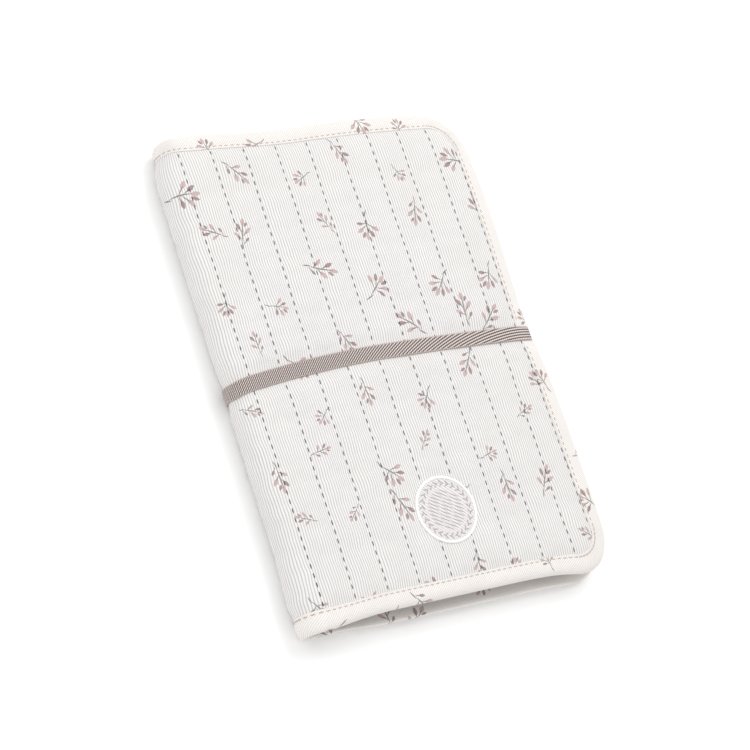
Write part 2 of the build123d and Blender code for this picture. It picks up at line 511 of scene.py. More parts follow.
@dataclass(frozen=True)
class PlanPath:
    """An outline in plan, made of straight and round stretches with the inside on the left."""

    parts: tuple[Run | Bend, ...]

    @property
    def length(self) -> float:
        """Whole length of the path."""
        return sum(part.length for part in self.parts)

    def at(self, distance: float) -> tuple[Vector, Vector]:
        """Point and inward direction a distance along.

        Args:
            distance: distance along.

        Returns:
            The point and the direction.
        """
        left = min(max(distance, 0.0), self.length)
        for part in self.parts[:-1]:
            if left <= part.length:
                return part.at(left)
            left -= part.length
        return self.parts[-1].at(min(left, self.parts[-1].length))

    @classmethod
    def cover_edge(cls, sizes: PadSizes) -> "PlanPath":
        """The three bound edges of a cover, from the middle of the spine and back to it.

        Args:
            sizes: the pad's sizes.

        Returns:
            The path.
        """
        u, y, r = sizes.fore_edge, sizes.half_length, sizes.corner
        return cls(
            (
                Run((sizes.cloth_end, -y), (u - r, -y)),
                Bend((u - r, r - y), r, -math.pi / 2),
                Run((u, r - y), (u, y - r)),
                Bend((u - r, y - r), r, 0.0),
                Run((u - r, y), (sizes.cloth_end, y)),
            )
        )

    @classmethod
    def rounded_box(cls, low: Vector, high: Vector, left: float, right: float) -> "PlanPath":
        """A closed rounded rectangle, with one corner radius on the left and one on the right.

        Args:
            low: its lowest corner.
            high: its highest corner.
            left: radius of the two corners on the left.
            right: radius of the two on the right.

        Returns:
            The path.
        """
        x0, y0, x1, y1 = low.x, low.y, high.x, high.y
        return cls(
            (
                Run((x0 + left, y0), (x1 - right, y0)),
                Bend((x1 - right, y0 + right), right, -math.pi / 2),
                Run((x1, y0 + right), (x1, y1 - right)),
                Bend((x1 - right, y1 - right), right, 0.0),
                Run((x1 - right, y1), (x0 + left, y1)),
                Bend((x0 + left, y1 - left), left, math.pi / 2),
                Run((x0, y1 - left), (x0, y0 + left)),
                Bend((x0 + left, y0 + left), left, math.pi),
            )
        )


# ---------------------------------------------------------------- shader node groups


class NodeBench:
    """Adds and wires the nodes of one tree."""

    def __init__(self, tree: NodeTree) -> None:
        """Start on a tree."""
        self.tree = tree

    def node(self, kind: str, **settings: object) -> bpy.types.Node:
        """Add a node and set its own options.

        Args:
            kind: the kind of node.
            settings: its own options.

        Returns:
            The node.
        """
        made = self.tree.nodes.new(kind)
        for key, value in settings.items():
            setattr(made, key, value)
        return made

    def feed(self, target: NodeSocket, source: NodeSocket | float | Sequence[float]) -> None:
        """Wire a socket into another, or set its value.

        Args:
            target: the socket that is fed.
            source: a socket or a value.
        """
        if isinstance(source, NodeSocket):
            self.tree.links.new(source, target)
        else:
            target.default_value = source

    def math(self, operation: str, *values: NodeSocket | float) -> NodeSocket:
        """Add a Math node and return its output.

        Args:
            operation: what it works out.
            values: sockets or numbers, in order.

        Returns:
            Its output.
        """
        made = self.node("ShaderNodeMath", operation=operation)
        for socket, value in zip(made.inputs, values):
            self.feed(socket, value)
        return made.outputs[0]

    def vector(self, operation: str, *values: NodeSocket | Sequence[float]) -> bpy.types.Node:
        """Add a Vector Math node and return it.

        Args:
            operation: what it works out.
            values: sockets or vectors, in order.

        Returns:
            The node.
        """
        made = self.node("ShaderNodeVectorMath", operation=operation)
        for socket, value in zip(made.inputs, values):
            self.feed(socket, value)
        return made

    def mix(self, share: NodeSocket | float, first: object, second: object) -> NodeSocket:
        """Mix two colours and return the result.

        Args:
            share: how much of the second colour shows.
            first: the first colour.
            second: the second colour.

        Returns:
            The mixed colour.
        """
        made = self.node("ShaderNodeMix", data_type="RGBA")
        self.feed(made.inputs["Factor"], share)
        for socket, value in zip((made.inputs[6], made.inputs[7]), (first, second)):
            self.feed(socket, value if isinstance(value, NodeSocket) else (*value, 1.0))
        return made.outputs[2]

    def ramp(self, value: NodeSocket, low: float, high: float) -> NodeSocket:
        """Rise smoothly from 0 at low to 1 at high.

        Args:
            value: what is followed.
            low: where the rise starts.
            high: where it ends.

        Returns:
            The share, from 0 to 1.
        """
        made = self.node("ShaderNodeMapRange", interpolation_type="SMOOTHSTEP")
        self.feed(made.inputs["Value"], value)
        self.feed(made.inputs["From Min"], low)
        self.feed(made.inputs["From Max"], high)
        return made.outputs[0]

    def group(self, tree: NodeTree, **inputs: NodeSocket | float | Sequence[float]) -> bpy.types.Node:
        """Place a node group with its own values.

        Args:
            tree: the group.
            inputs: sockets or values, by input name.

        Returns:
            The group node.
        """
        made = self.node("ShaderNodeGroup", node_tree=tree)
        for name, value in inputs.items():
            self.feed(made.inputs[name.replace("_", " ")], value)
        return made


# Leaves of the two kinds of sprig: pale leaves, dark leaves and stems. A leaf is its place, its lean
# in degrees, half its width and half its length.
LeafGroup = tuple[tuple[float, float, float, float, float], ...]
FAN_SPRIG: tuple[LeafGroup, ...] = (
    (
        (-0.02, 0.41, 8, 0.072, 0.15), (0.24, 0.27, -50, 0.068, 0.15), (-0.28, 0.12, 66, 0.068, 0.14),
    ),
    (
        (-0.18, 0.3, 36, 0.066, 0.14), (0.11, 0.39, -20, 0.056, 0.13), (0.26, 0.04, -80, 0.058, 0.13),
    ),
    (
        (0.0, 0.02, 6, 0.024, 0.34), (0.045, -0.36, -12, 0.022, 0.16), (0.12, 0.14, -46, 0.017, 0.16),
        (-0.13, 0.04, 60, 0.017, 0.16), (0.13, 0.0, -76, 0.016, 0.13), (-0.09, 0.19, 32, 0.016, 0.12),
    ),
)
SPRAY_SPRIG: tuple[LeafGroup, ...] = (
    (
        (0.03, 0.43, -6, 0.064, 0.14), (0.18, 0.14, -42, 0.068, 0.145), (-0.17, -0.02, 56, 0.058, 0.13),
    ),
    (
        (-0.12, 0.27, 30, 0.062, 0.135), (0.12, 0.34, -34, 0.046, 0.1), (0.15, -0.16, -38, 0.046, 0.1),
    ),
    (
        (0.01, 0.06, -3, 0.022, 0.4), (-0.01, -0.38, 10, 0.02, 0.15), (0.09, 0.03, -44, 0.016, 0.12),
        (-0.08, -0.1, 54, 0.016, 0.12), (-0.05, 0.16, 32, 0.015, 0.1), (0.07, -0.26, -40, 0.014, 0.1),
    ),
)


class PatternShelf:
    """Node groups that several finishes share, each built once."""

    def __init__(self) -> None:
        """Build the groups."""
        self.leaf = self._leaf()
        self.sprig = self._sprig()
        self.rib = self._rib()
        self.mottle = self._mottle()

    @staticmethod
    def _open(name: str, takes: dict[str, str], gives: Sequence[str]) -> tuple[NodeBench, object, object]:
        """Start a group with named sockets.

        Args:
            name: the group's name.
            takes: input names, each with VECTOR or FLOAT.
            gives: names of the outputs, all values.

        Returns:
            A bench on the group's tree, its input node and its output node.
        """
        tree = bpy.data.node_groups.new(name, "ShaderNodeTree")
        for label, kind in takes.items():
            socket_type = "NodeSocketVector" if kind == "VECTOR" else "NodeSocketFloat"
            tree.interface.new_socket(label, in_out="INPUT", socket_type=socket_type)
        for label in gives:
            tree.interface.new_socket(label, in_out="OUTPUT", socket_type="NodeSocketFloat")
        bench = NodeBench(tree)
        return bench, bench.node("NodeGroupInput"), bench.node("NodeGroupOutput")

    def _leaf(self) -> NodeTree:
        """A pointed leaf: Mask is 1 inside a leaf of the given place, turn and size.

        Returns:
            The group.
        """
        takes = {"Vector": "VECTOR", "Place": "VECTOR", "Turn": "VECTOR", "Size": "VECTOR"}
        bench, given, result = self._open("Pointed leaf", takes, ["Mask"])
        mapping = bench.node("ShaderNodeMapping", vector_type="TEXTURE")
        for socket, name in zip(mapping.inputs, ("Vector", "Place", "Turn", "Size")):
            bench.feed(socket, given.outputs[name])
        parts = bench.node("ShaderNodeSeparateXYZ")
        bench.feed(parts.inputs[0], mapping.outputs[0])
        across = bench.math("ABSOLUTE", parts.outputs["X"])
        along = bench.math("MULTIPLY", parts.outputs["Y"], parts.outputs["Y"])
        reach = bench.math("ADD", across, along)
        bench.feed(result.inputs["Mask"], bench.math("SUBTRACT", 1.0, bench.ramp(reach, 0.86, 1.04)))
        return bench.tree

    def _sprig(self) -> NodeTree:
        """Scattered leaf sprigs, one to a cell, each turned its own way.

        Returns:
            The group.
        """
        takes = {"Vector": "VECTOR", "Spacing": "FLOAT", "Size": "FLOAT"}
        bench, given, result = self._open("Sprig print", takes, ["Pale leaves", "Dark leaves", "Stems"])
        scaled = bench.vector("SCALE", given.outputs["Vector"])
        bench.feed(scaled.inputs["Scale"], bench.math("DIVIDE", 1.0, given.outputs["Spacing"]))
        cells = bench.node("ShaderNodeTexVoronoi", voronoi_dimensions="2D")
        bench.feed(cells.inputs["Vector"], scaled.outputs[0])
        cells.inputs["Scale"].default_value = 1.0
        cells.inputs["Randomness"].default_value = 0.66
        local = bench.vector("SUBTRACT", scaled.outputs[0], cells.outputs["Position"])
        sized = bench.vector("SCALE", local.outputs[0])
        own = bench.node("ShaderNodeSeparateColor")
        bench.feed(own.inputs[0], cells.outputs["Color"])
        growth = bench.math("ADD", 0.66, bench.math("MULTIPLY", own.outputs[2], 0.5))
        grown = bench.math("MULTIPLY", given.outputs["Size"], growth)
        bench.feed(sized.inputs["Scale"], bench.math("DIVIDE", given.outputs["Spacing"], grown))
        turned = bench.node("ShaderNodeVectorRotate", rotation_type="Z_AXIS")
        bench.feed(turned.inputs["Vector"], sized.outputs[0])
        bench.feed(turned.inputs["Angle"], bench.math("MULTIPLY", own.outputs[0], 2 * math.pi))
        flat = bench.vector("MULTIPLY", turned.outputs[0], (1.0, 1.0, 0.0)).outputs[0]

        def cluster(shapes: LeafGroup) -> NodeSocket:
            """Join several leaf shapes."""
            joined: NodeSocket | float = 0.0
            for x, y, lean, wide, long in shapes:
                one = bench.group(
                    self.leaf,
                    Vector=flat,
                    Place=(x, y, 0.0),
                    Turn=(0.0, 0.0, math.radians(lean)),
                    Size=(wide, long, 1.0),
                )
                joined = bench.math("MAXIMUM", joined, one.outputs["Mask"])
            return joined

        other = bench.math("GREATER_THAN", own.outputs[1], 0.45)
        for name, first, second in zip(("Pale leaves", "Dark leaves", "Stems"), FAN_SPRIG, SPRAY_SPRIG):
            kept = bench.math("MULTIPLY", cluster(first), bench.math("SUBTRACT", 1.0, other))
            changed = bench.math("MULTIPLY", cluster(second), other)
            bench.feed(result.inputs[name], bench.math("MAXIMUM", kept, changed))
        return bench.tree

    def _rib(self) -> NodeTree:
        """Fine woven ribs: Height rises on each rib, Groove marks the line between two.

        Returns:
            The group.
        """
        takes = {"Vector": "VECTOR", "Angle": "FLOAT", "Pitch": "FLOAT", "Waver": "FLOAT"}
        bench, given, result = self._open("Fine rib", takes, ["Height", "Groove"])
        turned = bench.node("ShaderNodeVectorRotate", rotation_type="Z_AXIS")
        bench.feed(turned.inputs["Vector"], given.outputs["Vector"])
        bench.feed(turned.inputs["Angle"], given.outputs["Angle"])
        waver = bench.node("ShaderNodeTexNoise", noise_dimensions="2D")
        bench.feed(waver.inputs["Vector"], given.outputs["Vector"])
        waver.inputs["Scale"].default_value = 38.0
        waver.inputs["Detail"].default_value = 2.0
        parts = bench.node("ShaderNodeSeparateXYZ")
        bench.feed(parts.inputs[0], turned.outputs[0])
        off_middle = bench.math("SUBTRACT", waver.outputs["Fac"], 0.5)
        drift = bench.math("MULTIPLY", off_middle, given.outputs["Waver"])
        across = bench.math("DIVIDE", bench.math("ADD", parts.outputs["Y"], drift), given.outputs["Pitch"])
        wave = bench.math("COSINE", bench.math("MULTIPLY", across, 2 * math.pi))
        height = bench.math("ADD", bench.math("MULTIPLY", wave, 0.5), 0.5)
        bench.feed(result.inputs["Height"], height)
        bench.feed(result.inputs["Groove"], bench.math("SUBTRACT", 1.0, bench.ramp(height, 0.0, 0.55)))
        return bench.tree

    def _mottle(self) -> NodeTree:
        """Uneven tone: Soft varies over centimetres and Grain over single threads.

        Returns:
            The group.
        """
        bench, given, result = self._open("Mottle", {"Vector": "VECTOR"}, ["Soft", "Grain"])
        for name, scale, detail in (("Soft", 26.0, 3.0), ("Grain", 1400.0, 1.0)):
            cloud = bench.node("ShaderNodeTexNoise", noise_dimensions="3D")
            bench.feed(cloud.inputs["Vector"], given.outputs["Vector"])
            cloud.inputs["Scale"].default_value = scale
            cloud.inputs["Detail"].default_value = detail
            bench.feed(result.inputs[name], cloud.outputs["Fac"])
        return bench.tree


# ---------------------------------------------------------------- finishes


def new_material(name: str, roughness: float, sheen: float) -> tuple[Material, NodeBench, bpy.types.Node]:
    """Start a cloth material.

    Args:
        name: the material's name.
        roughness: roughness of the surface.
        sheen: weight of the soft sheen of fibres.

    Returns:
        The material, a bench on its nodes and its Principled shader.
    """
    material = bpy.data.materials.new(name)
    material.use_nodes = True
    shader = material.node_tree.nodes["Principled BSDF"]
    shader.inputs["Roughness"].default_value = roughness
    shader.inputs["Sheen Weight"].default_value = sheen
    shader.inputs["Sheen Roughness"].default_value = 0.5
    shader.inputs["Specular IOR Level"].default_value = 0.25
    return material, NodeBench(material.node_tree), shader


def add_bump(bench: NodeBench, shader: bpy.types.Node, height: NodeSocket, depth: float) -> None:
    """Raise a surface's fine relief by a depth in metres.

    Args:
        bench: where the nodes are laid.
        shader: the surface.
        height: the relief, from 0 to 1.
        depth: its depth in metres.
    """
    bump = bench.node("ShaderNodeBump")
    bump.inputs["Strength"].default_value = 1.0
    bump.inputs["Distance"].default_value = depth
    bench.feed(bump.inputs["Height"], height)
    bench.feed(shader.inputs["Normal"], bump.outputs["Normal"])


@dataclass(frozen=True)
class PrintedRib:
    """Fine ribbed cotton, printed with scattered leaf sprigs, its rib valleys darkened with painted shade.
    """

    name: str
    rib: Rib
    ground: Colour = tint(236, 234, 232)
    # Darker tone, used both as painted shade in the rib valleys and as the random mottled tone of the
    # cloth.
    groove_shade_and_mottle: Colour = tint(192, 189, 188)
    leaf: Colour = tint(144, 120, 120)
    leaf_pale: Colour = tint(188, 163, 161)
    stem: Colour = tint(112, 102, 100)
    pitch: float = 1.75 * MM
    relief: float = 0.26 * MM
    spacing: float = 40 * MM
    sprig: float = 21 * MM

    def make(self, shelf: PatternShelf) -> Material:
        """Build the material.

        Args:
            shelf: the shared patterns.

        Returns:
            The material.
        """
        material, bench, shader = new_material(self.name, 0.9, 0.12)
        place = bench.node("ShaderNodeUVMap", uv_map="Cloth").outputs[0]
        ribs = bench.group(
            shelf.rib, Vector=place, Angle=math.radians(self.rib.value), Pitch=self.pitch, Waver=3.0 * MM
        )
        mottle = bench.group(shelf.mottle, Vector=place)
        sprigs = bench.group(shelf.sprig, Vector=place, Spacing=self.spacing, Size=self.sprig)
        uneven = bench.math("ADD", 0.55, bench.math("MULTIPLY", mottle.outputs["Grain"], 0.9))
        # Painted shade: the rib valleys are darkened towards the groove colour, by an amount that varies at
        # random.
        cloth = bench.mix(bench.math("MULTIPLY", ribs.outputs["Groove"], uneven), self.ground, self.groove_shade_and_mottle)
        cloth = bench.mix(bench.math("MULTIPLY", mottle.outputs["Soft"], 0.22), cloth, self.groove_shade_and_mottle)
        faded = bench.math("ADD", 0.5, bench.math("MULTIPLY", mottle.outputs["Grain"], 0.7))
        pale = bench.math("MULTIPLY", sprigs.outputs["Pale leaves"], faded)
        dark = bench.math("MULTIPLY", sprigs.outputs["Dark leaves"], faded)
        stems = bench.math("MULTIPLY", sprigs.outputs["Stems"], 0.8)
        printed = bench.mix(pale, cloth, self.leaf_pale)
        printed = bench.mix(dark, printed, self.leaf)
        printed = bench.mix(stems, printed, self.stem)
        bench.feed(shader.inputs["Base Color"], printed)
        grain = bench.math("MULTIPLY", mottle.outputs["Grain"], 0.35)
        relief = bench.math("ADD", ribs.outputs["Height"], grain)
        add_bump(bench, shader, relief, self.relief)
        return material


@dataclass(frozen=True)
class WipeCloth:
    """Smooth coated cloth that wipes clean."""

    name: str = "wipe_cloth"
    ground: Colour = tint(228, 223, 217)
    shade: Colour = tint(204, 197, 190)

    def make(self, shelf: PatternShelf) -> Material:
        """Build the material.

        Args:
            shelf: the shared patterns.

        Returns:
            The material.
        """
        material, bench, shader = new_material(self.name, 0.5, 0.05)
        place = bench.node("ShaderNodeUVMap", uv_map="Cloth").outputs[0]
        mottle = bench.group(shelf.mottle, Vector=place)
        warp = bench.group(shelf.rib, Vector=place, Angle=0.0, Pitch=0.7 * MM, Waver=0.3 * MM)
        weft = bench.group(shelf.rib, Vector=place, Angle=math.pi / 2, Pitch=0.7 * MM, Waver=0.3 * MM)
        weave = bench.math("MULTIPLY", warp.outputs["Height"], weft.outputs["Height"])
        colour = bench.mix(bench.math("MULTIPLY", mottle.outputs["Soft"], 0.5), self.ground, self.shade)
        bench.feed(shader.inputs["Base Color"], colour)
        rough = bench.math("ADD", 0.42, bench.math("MULTIPLY", mottle.outputs["Soft"], 0.2))
        bench.feed(shader.inputs["Roughness"], rough)
        add_bump(bench, shader, weave, 0.05 * MM)
        return material


@dataclass(frozen=True)
class Thread:
    """Twisted sewing or embroidery thread, with painted shade darkening the grooves of its twist."""

    name: str
    colour: Colour
    # Colour of the painted shade in the twist grooves.
    dark: Colour
    twist: float = 0.9 * MM

    def make(self, shelf: PatternShelf) -> Material:
        """Build the material.

        Args:
            shelf: the shared patterns.

        Returns:
            The material.
        """
        material, bench, shader = new_material(self.name, 0.62, 0.25)
        place = bench.node("ShaderNodeUVMap", uv_map="Cloth").outputs[0]
        strands = bench.group(
            shelf.rib, Vector=place, Angle=math.radians(62.0), Pitch=self.twist, Waver=0.2 * MM
        )
        mottle = bench.group(shelf.mottle, Vector=place)
        # Painted shade: the twist grooves are darkened towards the dark colour, by an amount that varies at
        # random.
        twist_shade_patchiness = bench.math("ADD", 0.35, mottle.outputs["Soft"])
        share = bench.math("MULTIPLY", strands.outputs["Groove"], twist_shade_patchiness)
        bench.feed(shader.inputs["Base Color"], bench.mix(share, self.colour, self.dark))
        add_bump(bench, shader, strands.outputs["Height"], 0.12 * MM)
        return material


@dataclass(frozen=True)
class BraidedElastic:
    """Flat braided elastic, ribbed on the slant in one stretch and lengthwise in another, with painted
    shade in its furrows and painted highlights on its beads.
    """

    name: str = "elastic"
    ridge: Colour = tint(226, 209, 202)
    # Colour of the painted shade in the braid's furrows and between its picks.
    furrow_shade: Colour = tint(46, 34, 31)
    edge: Colour = tint(136, 118, 112)
    # Colour of the painted highlight on the crests of the braid's beads.
    bead_highlight: Colour = tint(252, 246, 242)
    pitch: float = 1.85 * MM
    half_width: float = 5.0 * MM

    def make(self, shelf: PatternShelf) -> Material:
        """Build the material.

        Args:
            shelf: the shared patterns.

        Returns:
            The material.
        """
        material, bench, shader = new_material(self.name, 0.78, 0.2)
        braid = bench.node("ShaderNodeUVMap", uv_map="Braid").outputs[0]
        place = bench.node("ShaderNodeUVMap", uv_map="Cloth").outputs[0]
        ridges = bench.group(shelf.rib, Vector=braid, Angle=0.0, Pitch=self.pitch, Waver=0.3 * MM)
        picks = bench.group(shelf.rib, Vector=braid, Angle=math.pi / 2, Pitch=1.6 * MM, Waver=0.4 * MM)
        mottle = bench.group(shelf.mottle, Vector=place)
        parts = bench.node("ShaderNodeSeparateXYZ")
        bench.feed(parts.inputs[0], place)
        off_middle = bench.math("ABSOLUTE", parts.outputs["Y"])
        selvedge = bench.ramp(off_middle, self.half_width - 0.9 * MM, self.half_width - 0.4 * MM)
        # Painted shade: the braid's furrows are darkened, except at the selvedge.
        valley = bench.math("SUBTRACT", 1.0, ridges.outputs["Height"])
        furrow_shade = bench.math("MULTIPLY", valley, bench.math("SUBTRACT", 1.0, selvedge))
        colour = bench.mix(furrow_shade, self.ridge, self.furrow_shade)
        colour = bench.mix(bench.math("MULTIPLY", selvedge, 0.6), colour, self.edge)
        # Painted shade: dark specks in the grooves between picks, strewn at random.
        grain = bench.math("MULTIPLY", mottle.outputs["Grain"], 0.7)
        pick_groove_shade = bench.math("MULTIPLY", picks.outputs["Groove"], grain)
        colour = bench.mix(pick_groove_shade, colour, self.furrow_shade)
        # Painted highlight: the crest of each braid bead is lightened towards near white.
        bead_highlight_mask = bench.math("MULTIPLY", ridges.outputs["Height"], picks.outputs["Height"])
        colour = bench.mix(bench.math("MULTIPLY", bead_highlight_mask, 0.45), colour, self.bead_highlight)
        bench.feed(shader.inputs["Base Color"], colour)
        cross = bench.math("MULTIPLY", picks.outputs["Height"], 0.4)
        relief = bench.math("ADD", ridges.outputs["Height"], cross)
        add_bump(bench, shader, relief, 0.4 * MM)
        return material


@dataclass(frozen=True)
class SatinTape:
    """Narrow woven satin tape for the blank care label."""

    name: str = "label_tape"
    ground: Colour = tint(244, 243, 240)
    shade: Colour = tint(214, 211, 206)

    def make(self, shelf: PatternShelf) -> Material:
        """Build the material.

        Args:
            shelf: the shared patterns.

        Returns:
            The material.
        """
        material, bench, shader = new_material(self.name, 0.35, 0.1)
        place = bench.node("ShaderNodeUVMap", uv_map="Cloth").outputs[0]
        weave = bench.group(shelf.rib, Vector=place, Angle=0.0, Pitch=0.5 * MM, Waver=0.1 * MM)
        share = bench.math("MULTIPLY", weave.outputs["Groove"], 0.6)
        bench.feed(shader.inputs["Base Color"], bench.mix(share, self.ground, self.shade))
        add_bump(bench, shader, weave.outputs["Height"], 0.06 * MM)
        return material


@dataclass
class Wardrobe:
    """Every finish of the pad, made once."""

    shelf: PatternShelf = field(default_factory=PatternShelf)
    cotton: Material = field(init=False)
    binding: Material = field(init=False)
    wipe: Material = field(init=False)
    quilt_thread: Material = field(init=False)
    edge_thread_painted_shadow: Material = field(init=False)
    badge_cloth: Material = field(init=False)
    badge_thread: Material = field(init=False)
    motif_thread: Material = field(init=False)
    elastic: Material = field(init=False)
    label: Material = field(init=False)

    def __post_init__(self) -> None:
        """Build the materials from their finishes."""
        shelf = self.shelf
        self.cotton = PrintedRib("rib_cotton", Rib.LENGTHWISE).make(shelf)
        self.binding = PrintedRib(
            "bias_binding",
            Rib.BIAS,
            ground=tint(243, 240, 236),
            groove_shade_and_mottle=tint(218, 211, 206),
            pitch=1.3 * MM,
            spacing=44 * MM,
        ).make(shelf)
        self.wipe = WipeCloth().make(shelf)
        self.quilt_thread = Thread("quilting_thread", tint(82, 80, 83), tint(46, 44, 47)).make(shelf)
        # The edge thread's beige-brown is partly its own colour and partly painted shadow: it is darker
        # than the cream thread so that it stands for the small shadows beside each stitch.
        self.edge_thread_painted_shadow = Thread("edge_thread_painted_shadow", tint(206, 190, 180), tint(150, 132, 122)).make(shelf)
        self.badge_cloth = PrintedRib(
            "badge_twill",
            Rib.BIAS,
            ground=tint(232, 229, 228),
            groove_shade_and_mottle=tint(204, 200, 199),
            spacing=400 * MM,
            sprig=0.1 * MM,
        ).make(shelf)
        self.badge_thread = Thread("badge_thread", tint(255, 254, 253), tint(238, 236, 234)).make(shelf)
        self.motif_thread = Thread("motif_thread", tint(190, 185, 184), tint(158, 152, 151)).make(shelf)
        self.elastic = BraidedElastic().make(shelf)
        self.label = SatinTape().make(shelf)


# ---------------------------------------------------------------- cloth and thread work


def cloth_grid(columns: int, rows: int, place: Placer, plan: Placer) -> bmesh.types.BMesh:
    """Lay a grid of cloth through a placing rule.

    Args:
        columns: faces along the first direction.
        rows: faces along the second direction.
        place: gives a point in space from two shares, 0 to 1.
        plan: gives the cloth's own coordinates in metres from the same shares.

    Returns:
        The cloth, with its plan in the UV map "Cloth".
    """
    bm = bmesh.new()
    bmesh.ops.create_grid(bm, x_segments=columns, y_segments=rows, size=0.5)
    layer = bm.loops.layers.uv.new("Cloth")
    for face in bm.faces:
        for loop in face.loops:
            loop[layer].uv = plan(loop.vert.co.x + 0.5, loop.vert.co.y + 0.5)[:2]
    for vert in bm.verts:
        vert.co = place(vert.co.x + 0.5, vert.co.y + 0.5)
    return bm


def new_piece(name: str, bm: bmesh.types.BMesh, material: Material, recalculate: bool = True) -> Object:
    """Turn a bmesh into a named piece.

    Args:
        name: the piece's name.
        bm: its shape, which is freed.
        material: its finish.
        recalculate: whether the faces are turned outwards first.

    Returns:
        The new object.
    """
    bmesh.ops.remove_doubles(bm, verts=bm.verts, dist=0.005 * MM)
    if recalculate:
        bmesh.ops.recalc_face_normals(bm, faces=bm.faces)
    mesh = bpy.data.meshes.new(name)
    bm.to_mesh(mesh)
    bm.free()
    mesh.shade_smooth()
    mesh.set_sharp_from_angle(angle=math.radians(62))
    piece = bpy.data.objects.new(name, mesh)
    bpy.context.scene.collection.objects.link(piece)
    piece.data.materials.append(material)
    LOG.info("made %s with %d faces", name, len(mesh.polygons))
    return piece


def soften(piece: Object, levels: int = 1) -> Object:
    """Finish a piece with a subdivision surface.

    Args:
        piece: the piece.
        levels: times that the faces are divided.

    Returns:
        The same piece.
    """
    modifier = piece.modifiers.new("Soft", "SUBSURF")
    modifier.levels = modifier.render_levels = levels
    return piece


def settle(piece: Object) -> Object:
    """Apply a piece's modifiers to its mesh.

    Args:
        piece: the piece.

    Returns:
        The same piece.
    """
    graph = bpy.context.evaluated_depsgraph_get()
    graph.update()
    shaped = piece.evaluated_get(graph)
    mesh = bpy.data.meshes.new_from_object(shaped, preserve_all_data_layers=True, depsgraph=graph)
    piece.modifiers.clear()
    old, piece.data = piece.data, mesh
    bpy.data.meshes.remove(old)
    return piece


def inflate(piece: Object, held: Sequence[int], pressure: float, cap: float, slack: float) -> None:
    """Blow a padded piece up with cloth simulation and keep the result.

    Args:
        piece: the closed pad, a little smaller than it will be.
        held: vertices that stitching or a support holds still.
        pressure: pressure inside the pad.
        cap: how far a point may move, in metres.
        slack: share by which the cloth is larger than the shape it starts from.
    """
    group = piece.vertex_groups.new(name="held")
    if held:
        group.add(list(held), 1.0, "REPLACE")
    cloth = piece.modifiers.new("Cloth", "CLOTH")
    settings = cloth.settings
    settings.quality = 4
    settings.mass = 0.05
    settings.tension_stiffness = settings.compression_stiffness = 5.0
    settings.shear_stiffness = 2.0
    settings.bending_stiffness = 0.05
    settings.use_pressure = True
    settings.uniform_pressure_force = pressure
    settings.shrink_min = -slack
    settings.vertex_group_mass = group.name
    settings.effector_weights.gravity = 0.0
    cloth.collision_settings.use_collision = False
    for step in range(1, 21):
        bpy.context.scene.frame_set(step)
    graph = bpy.context.evaluated_depsgraph_get()
    moved = [vert.co.copy() for vert in piece.evaluated_get(graph).data.vertices]
    piece.modifiers.clear()
    piece.vertex_groups.clear()
    bpy.context.scene.frame_set(1)
    for vert, target in zip(piece.data.vertices, moved):
        shift = target - vert.co
        if shift.length > cap:
            shift *= cap / shift.length
        vert.co += shift


def plan_uv(mesh: Mesh, turn_at: float | None = None) -> None:
    """Give a flat mesh its own X and Y as the UV map "Cloth".

    Args:
        mesh: the mesh.
        turn_at: plan X at which the cloth carries on from the other cover's, if it does.
    """
    layer = mesh.uv_layers.get("Cloth") or mesh.uv_layers.new(name="Cloth")
    for loop in mesh.loops:
        point = mesh.vertices[loop.vertex_index].co
        along = point.x if turn_at is None else 2 * turn_at - point.x
        layer.data[loop.index].uv = (along, point.y)


@dataclass(frozen=True)
class Stitch:
    """One kind of running stitch: its length, the gap after it and the thread's width, in metres."""

    length: float
    gap: float
    width: float


EDGE_STITCH = Stitch(2.8 * MM, 1.5 * MM, 0.75 * MM)
UNDER_STITCH = Stitch(2.7 * MM, 1.5 * MM, 0.6 * MM)
QUILTING_STITCH = Stitch(3.5 * MM, 2.5 * MM, 0.74 * MM)
HEM_STITCH = Stitch(2.8 * MM, 1.6 * MM, 0.55 * MM)
MAT_SEAM_STITCH = Stitch(3.0 * MM, 2.0 * MM, 0.55 * MM)
MAT_EDGE_STITCH = Stitch(2.7 * MM, 1.7 * MM, 0.5 * MM)


